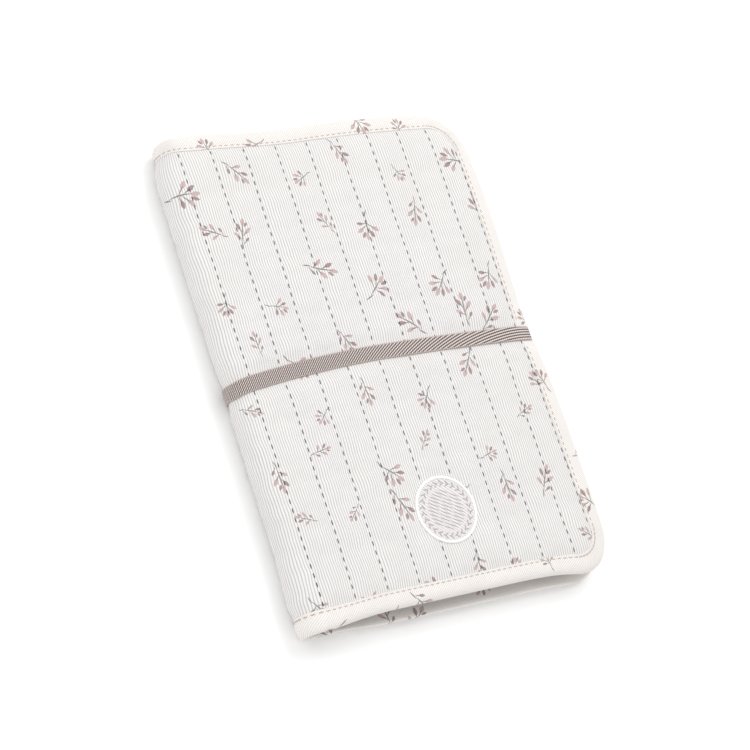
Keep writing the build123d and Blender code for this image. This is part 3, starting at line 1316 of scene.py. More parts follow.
class Seamstress:
    """Lays running stitches along plan lines, as small plump thread lozenges."""

    def __init__(self, place: Layer, ground: BVHTree | None = None) -> None:
        """Sew through a placing rule, on a flat surface if one is given.

        Args:
            place: lays a flat point in space.
            ground: the flat cloth that the stitches lie on.
        """
        self.place = place
        self.ground = ground
        self.placed: list[Matrix] = []

    def height(self, u: float, y: float) -> float:
        """Height of the flat cloth at a plan point.

        Args:
            u: unrolled plan X.
            y: plan Y.

        Returns:
            The height, 0 where there is no cloth.
        """
        if self.ground is None:
            return 0.0
        hit = self.ground.ray_cast(Vector((u, y, 0.05)), -UP)[0]
        return hit.z if hit else 0.0

    def stitch(self, middle: Vector, along: Vector, length: float, width: float, lift: float) -> None:
        """Add one stitch.

        Args:
            middle: its plan place.
            along: its plan direction.
            length: its length.
            width: the thread's width.
            lift: height of its middle above the cloth.
        """
        turn = Matrix.Rotation(math.atan2(along.y, along.x), 4, "Z")
        height = self.height(middle.x, middle.y) + lift
        size = Matrix.Diagonal((length / 2, width / 2, width * 0.4, 1.0))
        self.placed.append(Matrix.Translation((middle.x, middle.y, height)) @ turn @ size)

    def line(self, path: SewingPath, length: float, kind: Stitch, lift: float = 0.0) -> None:
        """Sew a running line along a path.

        Args:
            path: gives a point and a direction for a distance.
            length: how far to sew.
            kind: the stitch.
            lift: height of the stitches' middle above the cloth.
        """
        count = int(length / (kind.length + kind.gap))
        for number in range(count):
            middle, along = path((number + 0.5) * length / count)
            self.stitch(middle, along, kind.length, kind.width, lift)

    def finish(self, name: str, material: Material) -> Object:
        """Bend the stitches to their place and make them one piece.

        Args:
            name: name of the piece.
            material: the finish.

        Returns:
            The piece.
        """
        single = bmesh.new()
        lying = Matrix.Rotation(math.pi / 2, 4, "Y")
        bmesh.ops.create_uvsphere(single, u_segments=6, v_segments=5, radius=1.0, matrix=lying)
        thread = bpy.data.meshes.new("thread")
        single.to_mesh(thread)
        single.free()
        bm = bmesh.new()
        for spot in self.placed:
            thread.transform(spot)
            bm.from_mesh(thread)
            thread.transform(spot.inverted())
        bpy.data.meshes.remove(thread)
        layer = bm.loops.layers.uv.new("Cloth")
        for face in bm.faces:
            for loop in face.loops:
                loop[layer].uv = loop.vert.co.xy
        for vert in bm.verts:
            vert.co = self.place(*vert.co)
        return new_piece(name, bm, material)


@dataclass(frozen=True)
class EdgeTape:
    """Binding folded round an edge: a closed profile carried along a plan path.

    Attributes:
        path: the edge that it follows.
        profile: closed outline of (distance in from the edge, height) pairs.
        place: puts a plan point and a height in space.
        closed: whether the path comes back to its start.
        gather: how unevenly the tape puckers, in metres.
        step: length of one face along the tape.
    """

    path: PlanPath
    profile: tuple[tuple[float, float], ...]
    place: Layer
    closed: bool = True
    gather: float = 0.12 * MM
    step: float = 3.2 * MM

    def make(self, name: str, material: Material) -> Object:
        """Build the tape.

        Args:
            name: name of the piece.
            material: the finish.

        Returns:
            The tape.
        """
        rows = len(self.profile)
        lengths = [0.0]
        for first, second in zip(self.profile, (*self.profile[1:], self.profile[0])):
            lengths.append(lengths[-1] + math.dist(first, second))

        def place(a: float, b: float) -> Vector:
            """Put one point of the tape in space."""
            inset, height = self.profile[round(b * rows) % rows]
            point, inward = self.path.at(a * self.path.length)
            spot = point + inward * inset
            ripple = noise.noise(Vector((point.x * 210, point.y * 210, height * 400)))
            return self.place(spot.x, spot.y, height + self.gather * ripple)

        def plan(a: float, b: float) -> Vector:
            """Give the tape's own coordinates."""
            return Vector((a * self.path.length, lengths[round(b * rows)]))

        bm = cloth_grid(round(self.path.length / self.step), rows, place, plan)
        bmesh.ops.remove_doubles(bm, verts=bm.verts, dist=0.005 * MM)
        if not self.closed:
            open_edges = [edge for edge in bm.edges if edge.is_boundary]
            bmesh.ops.holes_fill(bm, edges=open_edges, sides=0)
        return soften(new_piece(name, bm, material))

    def inset_line(self, inset: float) -> SewingPath:
        """Path a distance in from the edge, for stitching.

        Args:
            inset: distance in from the edge.

        Returns:
            The path.
        """

        def at(distance: float) -> tuple[Vector, Vector]:
            """Point and direction a distance along."""
            point, inward = self.path.at(distance)
            return point + inward * inset, Vector((inward.y, -inward.x))

        return at


# ---------------------------------------------------------------- covers


@dataclass
class QuiltedCover:
    """One padded cover with its lining, binding and stitching.

    Attributes:
        form: lays its flat cloth in place.
        wardrobe: the finishes.
        badge: middle of the badge, under which the front face is flat.
        cell: size of one cell of its cloth.
        crown: height of a channel before it is blown up.
        cap: how much the simulation may add.
        quilt_inset: how far in from the edge the face ends, under the binding.
    """

    form: CoverForm
    wardrobe: Wardrobe
    badge: Vector
    cell: float = 4 * MM
    crown: float = 0.75 * MM
    cap: float = 1.5 * MM
    quilt_inset: float = 8 * MM

    def build(self) -> None:
        """Make every piece of the cover."""
        side = self.form.side.value
        quilt = self._quilt(f"{side}_quilted_face")
        corners = [vert.co for vert in quilt.data.vertices]
        ground = BVHTree.FromPolygons(corners, [face.vertices for face in quilt.data.polygons])
        for vert in quilt.data.vertices:
            vert.co = self.form.place(*vert.co)
        if self.form.side is Side.BACK:
            quilt.data.flip_normals()
        spine = ("spine_outer_panel", "spine_padding")
        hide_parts(f"{side}_outer_panel", f"{side}_padding", *spine)
        self.form.ride(quilt)
        self._lining(side)
        self._binding(side)
        self._quilting(side, ground)

    def _pressed(self, u: float, y: float, height: float) -> float:
        """Height of the face once the band, the badge and a flat underside have pressed it.

        Args:
            u: unrolled plan X.
            y: plan Y.
            height: height above the pattern.

        Returns:
            The pressed height.
        """
        sizes = self.form.sizes
        hold = self.form.band.hold(u, y)
        if self.form.side is Side.BACK:
            sunk = 1.15 * MM * ease(sizes.spine_x - 8 * MM, sizes.spine_x + 8 * MM, u)
            return mixed(height - sunk, self.form.held_height(u), hold)
        height = mixed(height, self.form.held_height(u), hold)
        off_badge = math.hypot(u - self.badge.x, y - self.badge.y)
        return mixed(height, 0.35 * MM, 1.0 - ease(22 * MM, 30 * MM, off_badge))

    def _start_height(self, u: float, y: float) -> float:
        """Gentle crown of each channel before the padding is blown up.

        Args:
            u: unrolled plan X.
            y: plan Y.

        Returns:
            The height.
        """
        sizes = self.form.sizes
        if u < sizes.first_line:
            share = (sizes.first_line - u) / (sizes.first_line - sizes.spine_end)
            tuck = 0.4 * max(0.0, sizes.spine_end - u) / sizes.overlap
            crown = math.sin(math.pi / 2 * min(1.0, share)) * 1.3 - tuck
        else:
            crown = math.sin(math.pi * ((u - sizes.first_line) / sizes.line_pitch % 1.0)) ** 0.8
        return self.crown * crown * ease(sizes.binding, sizes.binding + 9 * MM, sizes.inset(u, y))

    def _depth(self, u: float) -> float:
        """Depth of the padding under the face, thinner round the spine."""
        sizes = self.form.sizes
        return mixed(2.6 * MM, sizes.cover - 1.0 * MM, ease(sizes.spine_x, sizes.spine_x + 12 * MM, u))

    def _quilt(self, name: str) -> Object:
        """Make the quilted face, flat and blown up, with its padding.

        Args:
            name: name of the piece.

        Returns:
            The face, still flat.
        """
        sizes = self.form.sizes
        right = sizes.fore_edge - self.quilt_inset
        before = math.ceil((sizes.first_line - sizes.cloth_end) / self.cell)
        columns = before + math.ceil((right - sizes.first_line) / self.cell)
        half = sizes.half_length - self.quilt_inset
        rows = round(2 * half / self.cell)
        bm = bmesh.new()
        bmesh.ops.create_grid(bm, x_segments=columns, y_segments=rows, size=0.5)
        for vert in bm.verts:
            column = round((vert.co.x + 0.5) * columns)
            u = sizes.first_line + (column - before) * self.cell
            u = min(right, max(sizes.cloth_end, u))
            vert.co.xy = sizes.rounded(u, vert.co.y * 2 * half, self.quilt_inset)
        bmesh.ops.solidify(bm, geom=bm.faces[:], thickness=1 * MM)
        held = []
        lines = sizes.quilting_lines()
        for vert in bm.verts:
            u, y, z = vert.co
            inset = sizes.inset(u, y)
            if z < -0.5 * MM:
                vert.co.z = -self._depth(u)
                held.append(vert.index)
                continue
            vert.co.z = self._start_height(u, y) if inset > sizes.binding else -0.5 * MM
            on_line = min(abs(u - line) for line in lines) < 0.1 * MM
            on_rim = inset < sizes.binding + 0.5 * MM or u < sizes.spine_end + 0.1 * MM
            if on_line or on_rim:
                held.append(vert.index)
        bm.verts.index_update()
        piece = new_piece(name, bm, self.wardrobe.cotton)
        inflate(piece, held, pressure=9.0, cap=self.cap, slack=0.012)
        soften(piece)
        settle(piece)
        plan_uv(piece.data, turn_at=sizes.spine_end if self.form.side is Side.BACK else None)
        for vert in piece.data.vertices:
            u, y, height = vert.co
            if height > -1.6 * MM:
                vert.co.z = self._pressed(u, y, height) + self._wrinkle(u, y)
        piece.data.shade_smooth()
        piece.data.set_sharp_from_angle(angle=math.radians(50))
        return piece

    def _wrinkle(self, u: float, y: float) -> float:
        """Slight puckers beside the stitching and soft waves in between.

        Args:
            u: unrolled plan X.
            y: plan Y.

        Returns:
            Height to add.
        """
        sizes = self.form.sizes
        off_line = min(abs(u - line) for line in sizes.quilting_lines())
        pucker = 0.16 * MM * noise.noise(Vector((u * 60, y * 190, 1.7))) * math.exp(-off_line / (5 * MM))
        wave = 0.28 * MM * noise.noise(Vector((u * 46, y * 26, 9.2)))
        free = ease(sizes.binding, sizes.binding + 8 * MM, sizes.inset(u, y))
        return (pucker + wave) * free * ease(sizes.spine_end, sizes.spine_end + 10 * MM, u)

    def _lining(self, side: str) -> None:
        """Make the wipeable lining as one sheet over the cover and round its half of the spine.

        Args:
            side: name of the cover, as its pieces have it.
        """
        sizes = self.form.sizes
        right = sizes.fore_edge - self.quilt_inset
        half = sizes.half_length - self.quilt_inset
        width = right - sizes.cloth_end

        def spot(a: float, b: float) -> tuple[float, float]:
            """Plan place of one point of the lining."""
            return sizes.rounded(sizes.cloth_end + a * width, (b - 0.5) * 2 * half, self.quilt_inset)

        def place(a: float, b: float) -> Vector:
            """Lay one point of the lining."""
            u, y = spot(a, b)
            soft = 0.12 * MM * noise.noise(Vector((u * 40, y * 40, 5.0)))
            return self.form.place(u, y, 0.15 * MM - sizes.cover + soft)

        bm = cloth_grid(48, 64, place, lambda a, b: Vector(spot(a, b)))
        piece = new_piece(f"{side}_lining_sheet", bm, self.wardrobe.wipe, recalculate=False)
        if self.form.side is Side.FRONT:
            piece.data.flip_normals()
        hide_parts(f"{side}_lining", "spine_lining")
        self.form.ride(piece)

    def _binding(self, side: str) -> None:
        """Make the bias binding of three edges and its line of edge stitching.

        Args:
            side: name of the cover, as its pieces have it.
        """
        sizes = self.form.sizes
        wide, deep = sizes.binding, sizes.cover
        outer = (
            (wide + 0.3 * MM, -0.7 * MM),
            (wide + 0.1 * MM, 0.1 * MM),
            (wide - 0.8 * MM, 0.42 * MM),
            (wide - 1.9 * MM, 0.1 * MM),
            (wide - 3.4 * MM, 0.55 * MM),
            (wide - 6.4 * MM, 0.85 * MM),
            (2.4 * MM, 0.35 * MM),
            (0.75 * MM, -0.8 * MM),
            (0.0, -2.4 * MM),
        )
        inner = (
            (0.1 * MM, -deep + 2.0 * MM),
            (1.0 * MM, -deep + 0.6 * MM),
            (3.0 * MM, -deep + 0.05 * MM),
            (wide - 3.4 * MM, -deep - 0.15 * MM),
            (wide - 1.9 * MM, -deep + 0.2 * MM),
            (wide - 0.8 * MM, -deep - 0.15 * MM),
            (wide + 0.1 * MM, -deep + 0.1 * MM),
            (wide + 0.3 * MM, -deep + 0.9 * MM),
        )
        filled = ((4 * MM, -deep + 1.6 * MM), (2.6 * MM, -deep / 2), (4 * MM, -1.6 * MM))
        profile = (*outer, *inner, *filled)
        tape = EdgeTape(PlanPath.cover_edge(sizes), profile, self._edge_place, closed=False)
        piece = tape.make(f"{side}_binding_tape", self.wardrobe.binding)
        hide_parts(f"{side}_binding", "spine_binding_near", "spine_binding_far")
        self.form.ride(piece)
        sewing = Seamstress(self._edge_place)
        seam = tape.inset_line(wide - 1.9 * MM)
        sewing.line(seam, tape.path.length, EDGE_STITCH, 0.3 * MM)
        sewing.line(seam, tape.path.length, UNDER_STITCH, -deep + 0.1 * MM)
        stitches = sewing.finish(f"{side}_edge_stitches", self.wardrobe.edge_thread_painted_shadow)
        self.form.ride(stitches)

    def _edge_place(self, u: float, y: float, height: float) -> Vector:
        """Lay a point of the binding, pressed under the band and bunched at the spine's ends.

        Args:
            u: unrolled plan X.
            y: plan Y.
            height: height above the pattern.

        Returns:
            The point in space.
        """
        sizes = self.form.sizes
        if height > -2 * MM:
            height = mixed(height, min(height, self.form.held_height(u)), self.form.band.hold(u, y))
            if self.form.side is Side.BACK:
                height -= 0.85 * MM * ease(sizes.spine_x - 8 * MM, sizes.spine_x + 8 * MM, u)
        bunched = 1.0 - ease(sizes.spine_x - 6 * MM, sizes.spine_x + 26 * MM, u)
        near_end = ease(sizes.half_length - sizes.binding, sizes.half_length, abs(y))
        y -= 1.4 * MM * bunched * near_end
        return self.form.place(u, y, height)

    def _quilting(self, side: str, ground: BVHTree) -> None:
        """Sew the lengthwise quilting lines.

        Args:
            side: name of the cover, as its pieces have it.
            ground: the flat quilted face.
        """
        sizes = self.form.sizes
        sewing = Seamstress(self.form.place, ground)
        half = sizes.half_length - sizes.binding
        for u in sizes.quilting_lines():
            reach = half if u < sizes.fore_edge - sizes.corner else half - sizes.corner + sizes.binding

            def along(distance: float, u: float = u, reach: float = reach) -> tuple[Vector, Vector]:
                """Point and direction on this line, which wavers a little as sewn lines do."""
                y = distance - reach
                return Vector((u + 0.25 * MM * math.sin(y * 90 + u * 400), y)), Vector((0.0, 1.0))

            sewing.line(along, 2 * reach, QUILTING_STITCH, 0.06 * MM)
        self._drop_hidden(sewing)
        stitches = sewing.finish(f"{side}_quilting_stitches", self.wardrobe.quilt_thread)
        self.form.ride(stitches)

    def _drop_hidden(self, sewing: Seamstress) -> None:
        """Leave out the stitches that would lie under the badge.

        Args:
            sewing: the stitches laid so far.
        """
        if self.form.side is Side.BACK:
            return
        hidden = 21.5 * MM
        middle = self.badge.xy
        sewing.placed = [spot for spot in sewing.placed if (spot.translation.xy - middle).length > hidden]


# ---------------------------------------------------------------- badge


@dataclass
class EmbroideredBadge:
    """Round sewn-on badge with a satin rim, a ring of small leaves and stitched rows inside."""

    cover: QuiltedCover
    middle: Vector
    radius: float
    rim: float = 1.9 * MM
    leaf_count: int = 26
    row_pitch: float = 2.3 * MM
    row_turn: float = math.radians(-28.0)
    lift: float = 0.75 * MM

    def build(self) -> None:
        """Make the badge's pieces."""
        wardrobe = self.cover.wardrobe
        self._dress(self._disc(), "badge_base", wardrobe.badge_cloth)
        self._dress(self._rim(), "badge_ring", wardrobe.badge_thread)
        self._dress(self._leaf_ring(), "badge_motif", wardrobe.motif_thread)
        self._dress(self._rows(), None, wardrobe.motif_thread)

    def _dress(self, piece: Object, node: str | None, material: Material) -> None:
        """Give a piece its finish and its body.

        Args:
            piece: the piece.
            node: the CAD node it replaces, if any.
            material: the finish.
        """
        piece.data.materials[0] = material
        if node:
            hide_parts(node)
        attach(piece, "front_cover")

    def _lay(self, spot: Vector, height: float) -> Vector:
        """Put a plan point of the badge on the cover."""
        return self.cover.form.place(spot.x, spot.y, height)

    def _turned(self, section: Callable[[float], tuple[float, float]], rows: int) -> bmesh.types.BMesh:
        """Turn a section round the badge's middle.

        Args:
            section: gives radius and height from a share, 0 to 1.
            rows: faces along the section.

        Returns:
            The turned surface, laid on the cover.
        """

        def place(a: float, b: float) -> Vector:
            """Put one point in space."""
            reach, height = section(b)
            way = Vector((math.cos(2 * math.pi * a), math.sin(2 * math.pi * a)))
            return self._lay(self.middle.xy + way * reach, height)

        def plan(a: float, b: float) -> Vector:
            """Give the surface's own coordinates, round the badge and across it."""
            return Vector((a * 2 * math.pi * self.radius, section(b)[0]))

        return cloth_grid(120, rows, place, plan)

    def _disc(self) -> Object:
        """Make the cloth disc with a turned-down edge.

        Returns:
            The disc.
        """

        def section(share: float) -> tuple[float, float]:
            """Radius and height from the middle to the foot of the edge."""
            if share < 0.85:
                return self.radius * share / 0.85 * 0.985, self.lift
            down = (share - 0.85) / 0.15
            return self.radius * (0.985 + 0.015 * math.sin(down * math.pi / 2)), self.lift - down * 0.6 * MM

        bm = self._turned(section, 12)
        layer = bm.loops.layers.uv["Cloth"]
        for face in bm.faces:
            for loop in face.loops:
                loop[layer].uv = loop.vert.co.xy
        return new_piece("badge_disc", bm, self.cover.wardrobe.badge_cloth)

    def _rim(self) -> Object:
        """Make the plump satin-stitched rim.

        Returns:
            The rim.
        """

        def section(share: float) -> tuple[float, float]:
            """Radius and height round the rim's own section."""
            angle = 2 * math.pi * share
            reach = self.radius - self.rim * 0.7 + self.rim / 2 * math.cos(angle)
            return reach, self.lift + 0.1 * MM + 0.75 * MM * math.sin(angle)

        return new_piece("badge_satin_rim", self._turned(section, 12), self.cover.wardrobe.badge_thread)

    def _leaf_ring(self) -> Object:
        """Make the ring of paired leaf stitches.

        Returns:
            The ring.
        """
        sewing = Seamstress(self.cover.form.place)
        ring = self.radius * 0.765
        for number in range(self.leaf_count):
            angle = 2 * math.pi * number / self.leaf_count
            out = Vector((math.cos(angle), math.sin(angle)))
            round_way = Vector((-out.y, out.x))
            for lean in (-1.0, 1.0):
                spot = self.middle.xy + out * (ring + lean * 1.0 * MM) + round_way * 0.3 * MM
                way = (round_way + out * lean * 0.9).normalized()
                sewing.stitch(spot, way, 3.0 * MM, 0.75 * MM, self.lift + 0.12 * MM)
            knot = self.middle.xy + out * ring - round_way * 1.35 * MM
            sewing.stitch(knot, round_way, 1.2 * MM, 0.7 * MM, self.lift + 0.1 * MM)
        return sewing.finish("badge_leaf_ring", self.cover.wardrobe.motif_thread)

    def _rows(self) -> Object:
        """Make the rows of long stitches that fill the middle.

        Returns:
            The rows, as one piece.
        """
        sewing = Seamstress(self.cover.form.place)
        field_radius = self.radius * 0.6
        way = Vector((math.cos(self.row_turn), math.sin(self.row_turn)))
        across = Vector((-way.y, way.x))
        rows = int(field_radius / self.row_pitch)
        for row in range(-rows, rows + 1):
            off = row * self.row_pitch
            half = math.sqrt(field_radius**2 - off**2)
            count = max(1, round(2 * half / (9 * MM)))
            for number in range(count):
                along = -half + (number + 0.5) * 2 * half / count
                spot = self.middle.xy + across * off + way * along
                sewing.stitch(spot, way, 2 * half / count * 1.04, 0.75 * MM, self.lift)
        return sewing.finish("badge_row_stitches", self.cover.wardrobe.badge_thread)


# ---------------------------------------------------------------- inside pieces


@dataclass
class CoverPockets:
    """Pockets and the blank care label inside the front cover."""

    form: CoverForm
    wardrobe: Wardrobe

    def build(self) -> None:
        """Make both pockets and the label."""
        for name in ("nappy_pocket", "wipes_pocket"):
            self._panel(name)
            self._hem(f"{name}_hem")
        self._label()

    def _inside(self, u: float, y: float, drop: float) -> Vector:
        """Put a point below the front cover's lining."""
        return self.form.place(u, y, -self.form.sizes.cover - drop)

    def _tucked(self, u: float, y: float) -> tuple[float, float]:
        """Pull a plan point in from under the binding's rounded corner.

        Args:
            u: unrolled plan X.
            y: plan Y.

        Returns:
            The place, as plan X and plan Y.
        """
        sizes = self.form.sizes
        radius = sizes.corner - sizes.binding
        centre_y = math.copysign(sizes.half_length - sizes.corner, y)
        centre = Vector((sizes.fore_edge - sizes.corner, centre_y))
        off = Vector((u, y)) - centre
        if off.x > 0 and off.y * centre.y > 0 and off.length > radius:
            off *= radius / off.length
            return centre.x + off.x, centre.y + off.y
        return u, y

    def _panel(self, name: str) -> None:
        """Make one pocket's panel, with a little ease in its cloth.

        Args:
            name: name of the pocket.
        """
        low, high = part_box(name)
        size = high - low

        def place(a: float, b: float) -> Vector:
            """Lay one point of the panel."""
            u, y = self._tucked(low.x + a * size.x, low.y + b * size.y)
            ease_in = math.sin(math.pi * a) * math.sin(math.pi * b)
            soft = 0.25 * MM * noise.noise(Vector((u * 30, y * 30, 4.4)))
            return self._inside(u, y, 0.25 * MM + 0.5 * MM * ease_in + soft * ease_in)

        def plan(a: float, b: float) -> Vector:
            """Give the panel's own coordinates."""
            return Vector((low.x + a * size.x, low.y + b * size.y + 0.4))

        bm = cloth_grid(round(size.x / (5 * MM)), round(size.y / (5 * MM)), place, plan)
        bmesh.ops.solidify(bm, geom=bm.faces[:], thickness=0.45 * MM)
        piece = new_piece(f"{name}_panel", bm, self.wardrobe.cotton)
        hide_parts(name)
        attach(piece, "front_cover")

    def _hem(self, name: str) -> None:
        """Make the folded binding along a pocket's mouth, with its stitching.

        Args:
            name: name of the pocket.
        """
        low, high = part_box(name)
        size = high - low

        def place(a: float, b: float) -> Vector:
            """Lay one point of the hem's closed section."""
            turn = 2 * math.pi * b
            u = low.x + size.x / 2 + (size.x / 2 + 0.3 * MM) * math.cos(turn)
            y = low.y + a * size.y
            thick = 0.6 * MM * abs(math.sin(turn)) ** 0.6 * math.copysign(1.0, math.sin(turn))
            soft = 0.08 * MM * noise.noise(Vector((u * 90, y * 90, 2.0)))
            return self._inside(u, y, 0.8 * MM + thick + soft)

        def plan(a: float, b: float) -> Vector:
            """Give the hem's own coordinates."""
            return Vector((a * size.y + 0.2, abs(2 * b - 1) * size.x))

        bm = cloth_grid(round(size.y / (4 * MM)), 20, place, plan)
        bmesh.ops.remove_doubles(bm, verts=bm.verts, dist=0.005 * MM)
        bmesh.ops.holes_fill(bm, edges=[edge for edge in bm.edges if edge.is_boundary], sides=0)
        piece = new_piece(f"{name}_tape", bm, self.wardrobe.binding)
        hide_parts(name)
        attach(piece, "front_cover")
        sewing = Seamstress(lambda u, y, height: self._inside(u, y, 1.35 * MM - height))

        def along(distance: float) -> tuple[Vector, Vector]:
            """Point and direction of the hem's stitching."""
            return Vector((high.x - 2.2 * MM, low.y + distance)), Vector((0.0, 1.0))

        sewing.line(along, size.y, HEM_STITCH)
        stitches = sewing.finish(f"{name}_stitches", self.wardrobe.edge_thread_painted_shadow)
        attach(stitches, "front_cover")

    def _label(self) -> None:
        """Make the blank care label, sewn down along one end."""
        low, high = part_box("care_label")
        size = high - low

        def place(a: float, b: float) -> Vector:
            """Lay one point of the label, which lifts towards its free end."""
            lift = 0.5 * MM * b * b + 0.2 * MM * math.sin(a * math.pi) * b
            return self._inside(low.x + a * size.x, low.y + b * size.y, 0.05 * MM + lift)

        bm = cloth_grid(10, 14, place, lambda a, b: Vector((a * size.x, b * size.y)))
        bmesh.ops.solidify(bm, geom=bm.faces[:], thickness=0.2 * MM)
        piece = new_piece("care_label_tape", bm, self.wardrobe.label)
        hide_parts("care_label")
        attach(piece, "front_cover")


@dataclass
class MatPanel:
    """One panel of the fold-out mat: a padded wipeable face, a cotton back and a binding.

    Attributes:
        number: the panel's number, counted out from the back cover.
        wipe_up: whether its wipeable face is on top in the closed pad.
        wardrobe: the finishes.
        corner: radius of its two larger corners.
        binding: width of its binding on each face.
        backing_inset: how far in from the edge the backing ends.
        rows: channels of padding along the panel.
        low: its lowest corner.
        high: its highest corner.
    """

    number: int
    wipe_up: bool
    wardrobe: Wardrobe
    corner: float = 25 * MM
    binding: float = 8 * MM
    backing_inset: float = 6 * MM
    rows: int = 6
    low: Vector = field(init=False)
    high: Vector = field(init=False)

    def build(self) -> None:
        """Make the panel's pieces."""
        self.low, self.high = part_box(f"mat_{self.number}_binding")
        body = f"mat_panel_{self.number}"
        self._pad(body)
        self._backing(body)
        self._tape(body)

    def _spot(self, a: float, b: float, inset: float) -> tuple[float, float]:
        """Plan place of a share of the panel, with rounded corners.

        Args:
            a: share of the way along, from 0 to 1.
            b: share of the way across, from 0 to 1.
            inset: distance in from the panel's edge.

        Returns:
            X and Y.
        """
        half_x = (self.high.x - self.low.x) / 2 - inset
        half_y = (self.high.y - self.low.y) / 2 - inset
        middle = (self.low + self.high) / 2
        x, y = (a * 2 - 1) * half_x, (b * 2 - 1) * half_y
        radius = (self.corner if x > 0 else self.corner / 2) - inset * (1.0 if x > 0 else 0.5)
        over_x, over_y = (abs(x) - half_x + radius) / radius, (abs(y) - half_y + radius) / radius
        if over_x > 0 and over_y > 0:
            drawn_x = over_x * math.sqrt(1 - over_y**2 / 2)
            drawn_y = over_y * math.sqrt(1 - over_x**2 / 2)
            x = math.copysign(half_x - radius + drawn_x * radius, x)
            y = math.copysign(half_y - radius + drawn_y * radius, y)
        return middle.x + x, middle.y + y

    def _face_height(self, x: float, y: float, wipe_side: bool) -> float:
        """Z of one face, dimpled along the seams that hold its padding.

        Args:
            x: X of the point.
            y: Y of the point.
            wipe_side: whether it is the wipeable face.

        Returns:
            The Z.
        """
        middle = (self.low.z + self.high.z) / 2
        half = (self.high.z - self.low.z) / 2
        pitch = (self.high.y - self.low.y) / self.rows
        off = abs(((y - self.low.y) / pitch + 0.5) % 1.0 - 0.5) * pitch
        dimple = 0.75 * MM * math.exp(-((off / (4 * MM)) ** 2)) if wipe_side else 0.0
        soft = 0.12 * MM * noise.noise(Vector((x * 60, y * 60, self.number)))
        up = 1.0 if wipe_side == self.wipe_up else -1.0
        return middle + up * (half - 0.2 * MM - dimple + soft)

    def _pad(self, body: str) -> None:
        """Make the padded panel with its wipeable face.

        Args:
            body: name of the body it moves with.
        """
        bm = bmesh.new()
        bmesh.ops.create_grid(bm, x_segments=30, y_segments=84, size=0.5)
        for vert in bm.verts:
            vert.co.xy = self._spot(vert.co.x + 0.5, vert.co.y + 0.5, 4 * MM)
        bmesh.ops.solidify(bm, geom=bm.faces[:], thickness=1 * MM)
        for vert in bm.verts:
            on_top = vert.co.z > -0.5 * MM
            vert.co.z = self._face_height(vert.co.x, vert.co.y, on_top == self.wipe_up)
        piece = new_piece(f"mat_{self.number}_pad", bm, self.wardrobe.wipe)
        plan_uv(piece.data)
        soften(piece)
        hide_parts(f"mat_{self.number}_top_sheet", f"mat_{self.number}_padding")
        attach(piece, body)
        sewing = Seamstress(lambda x, y, height: Vector((x, y, self._face_height(x, y, True) + height)))
        pitch = (self.high.y - self.low.y) / self.rows
        length = self.high.x - self.low.x - 2 * self.binding
        for line in range(1, self.rows):

            def along(distance: float, line: int = line) -> tuple[Vector, Vector]:
                """Point and direction of one cross seam."""
                point = Vector((self.low.x + self.binding + distance, self.low.y + line * pitch))
                return point, Vector((1.0, 0.0))

            sewing.line(along, length, MAT_SEAM_STITCH)
        stitches = sewing.finish(f"mat_{self.number}_seams", self.wardrobe.edge_thread_painted_shadow)
        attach(stitches, body)

    def _backing(self, body: str) -> None:
        """Make the cotton back of the panel.

        Args:
            body: name of the body it moves with.
        """

        def place(a: float, b: float) -> Vector:
            """Lay one point of the backing just proud of the padding."""
            x, y = self._spot(a, b, self.backing_inset)
            outward = -0.08 * MM if self.wipe_up else 0.08 * MM
            return Vector((x, y, self._face_height(x, y, False) + outward))

        def plan(a: float, b: float) -> Vector:
            """Give the backing's own coordinates, on a stretch of the print of its own."""
            return Vector(self._spot(a, b, self.backing_inset)) + Vector((0.7, 0.3))

        bm = cloth_grid(24, 64, place, plan)
        piece = new_piece(f"mat_{self.number}_backing_sheet", bm, self.wardrobe.cotton, recalculate=False)
        if self.wipe_up:
            piece.data.flip_normals()
        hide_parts(f"mat_{self.number}_backing")
        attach(piece, body)

    def _tape(self, body: str) -> None:
        """Make the binding round the panel and its stitching.

        Args:
            body: name of the body it moves with.
        """
        wide, half = self.binding, (self.high.z - self.low.z) / 2
        middle = (self.low.z + self.high.z) / 2
        outer = (
            (wide + 0.2 * MM, half - 0.7 * MM),
            (wide, half - 0.05 * MM),
            (wide - 1.5 * MM, half - 0.2 * MM),
            (wide - 4.0 * MM, half),
            (1.2 * MM, half - 0.3 * MM),
            (0.1 * MM, half - 1.2 * MM),
        )
        under = tuple((inset, -height) for inset, height in reversed(outer))
        path = PlanPath.rounded_box(self.low, self.high, self.corner / 2, self.corner)

        def place(x: float, y: float, height: float) -> Vector:
            """Put a point of the tape in space."""
            return Vector((x, y, middle + height))

        tape = EdgeTape(path, (*outer, *under), place, gather=0.04 * MM, step=4 * MM)
        piece = tape.make(f"mat_{self.number}_binding_tape", self.wardrobe.binding)
        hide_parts(f"mat_{self.number}_binding")
        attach(piece, body)
        sewing = Seamstress(place)
        for face in (half - 0.15 * MM, -half + 0.15 * MM):
            sewing.line(tape.inset_line(wide - 1.5 * MM), path.length, MAT_EDGE_STITCH, face)
        stitches = sewing.finish(f"mat_{self.number}_edge_stitches", self.wardrobe.edge_thread_painted_shadow)
        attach(stitches, body)


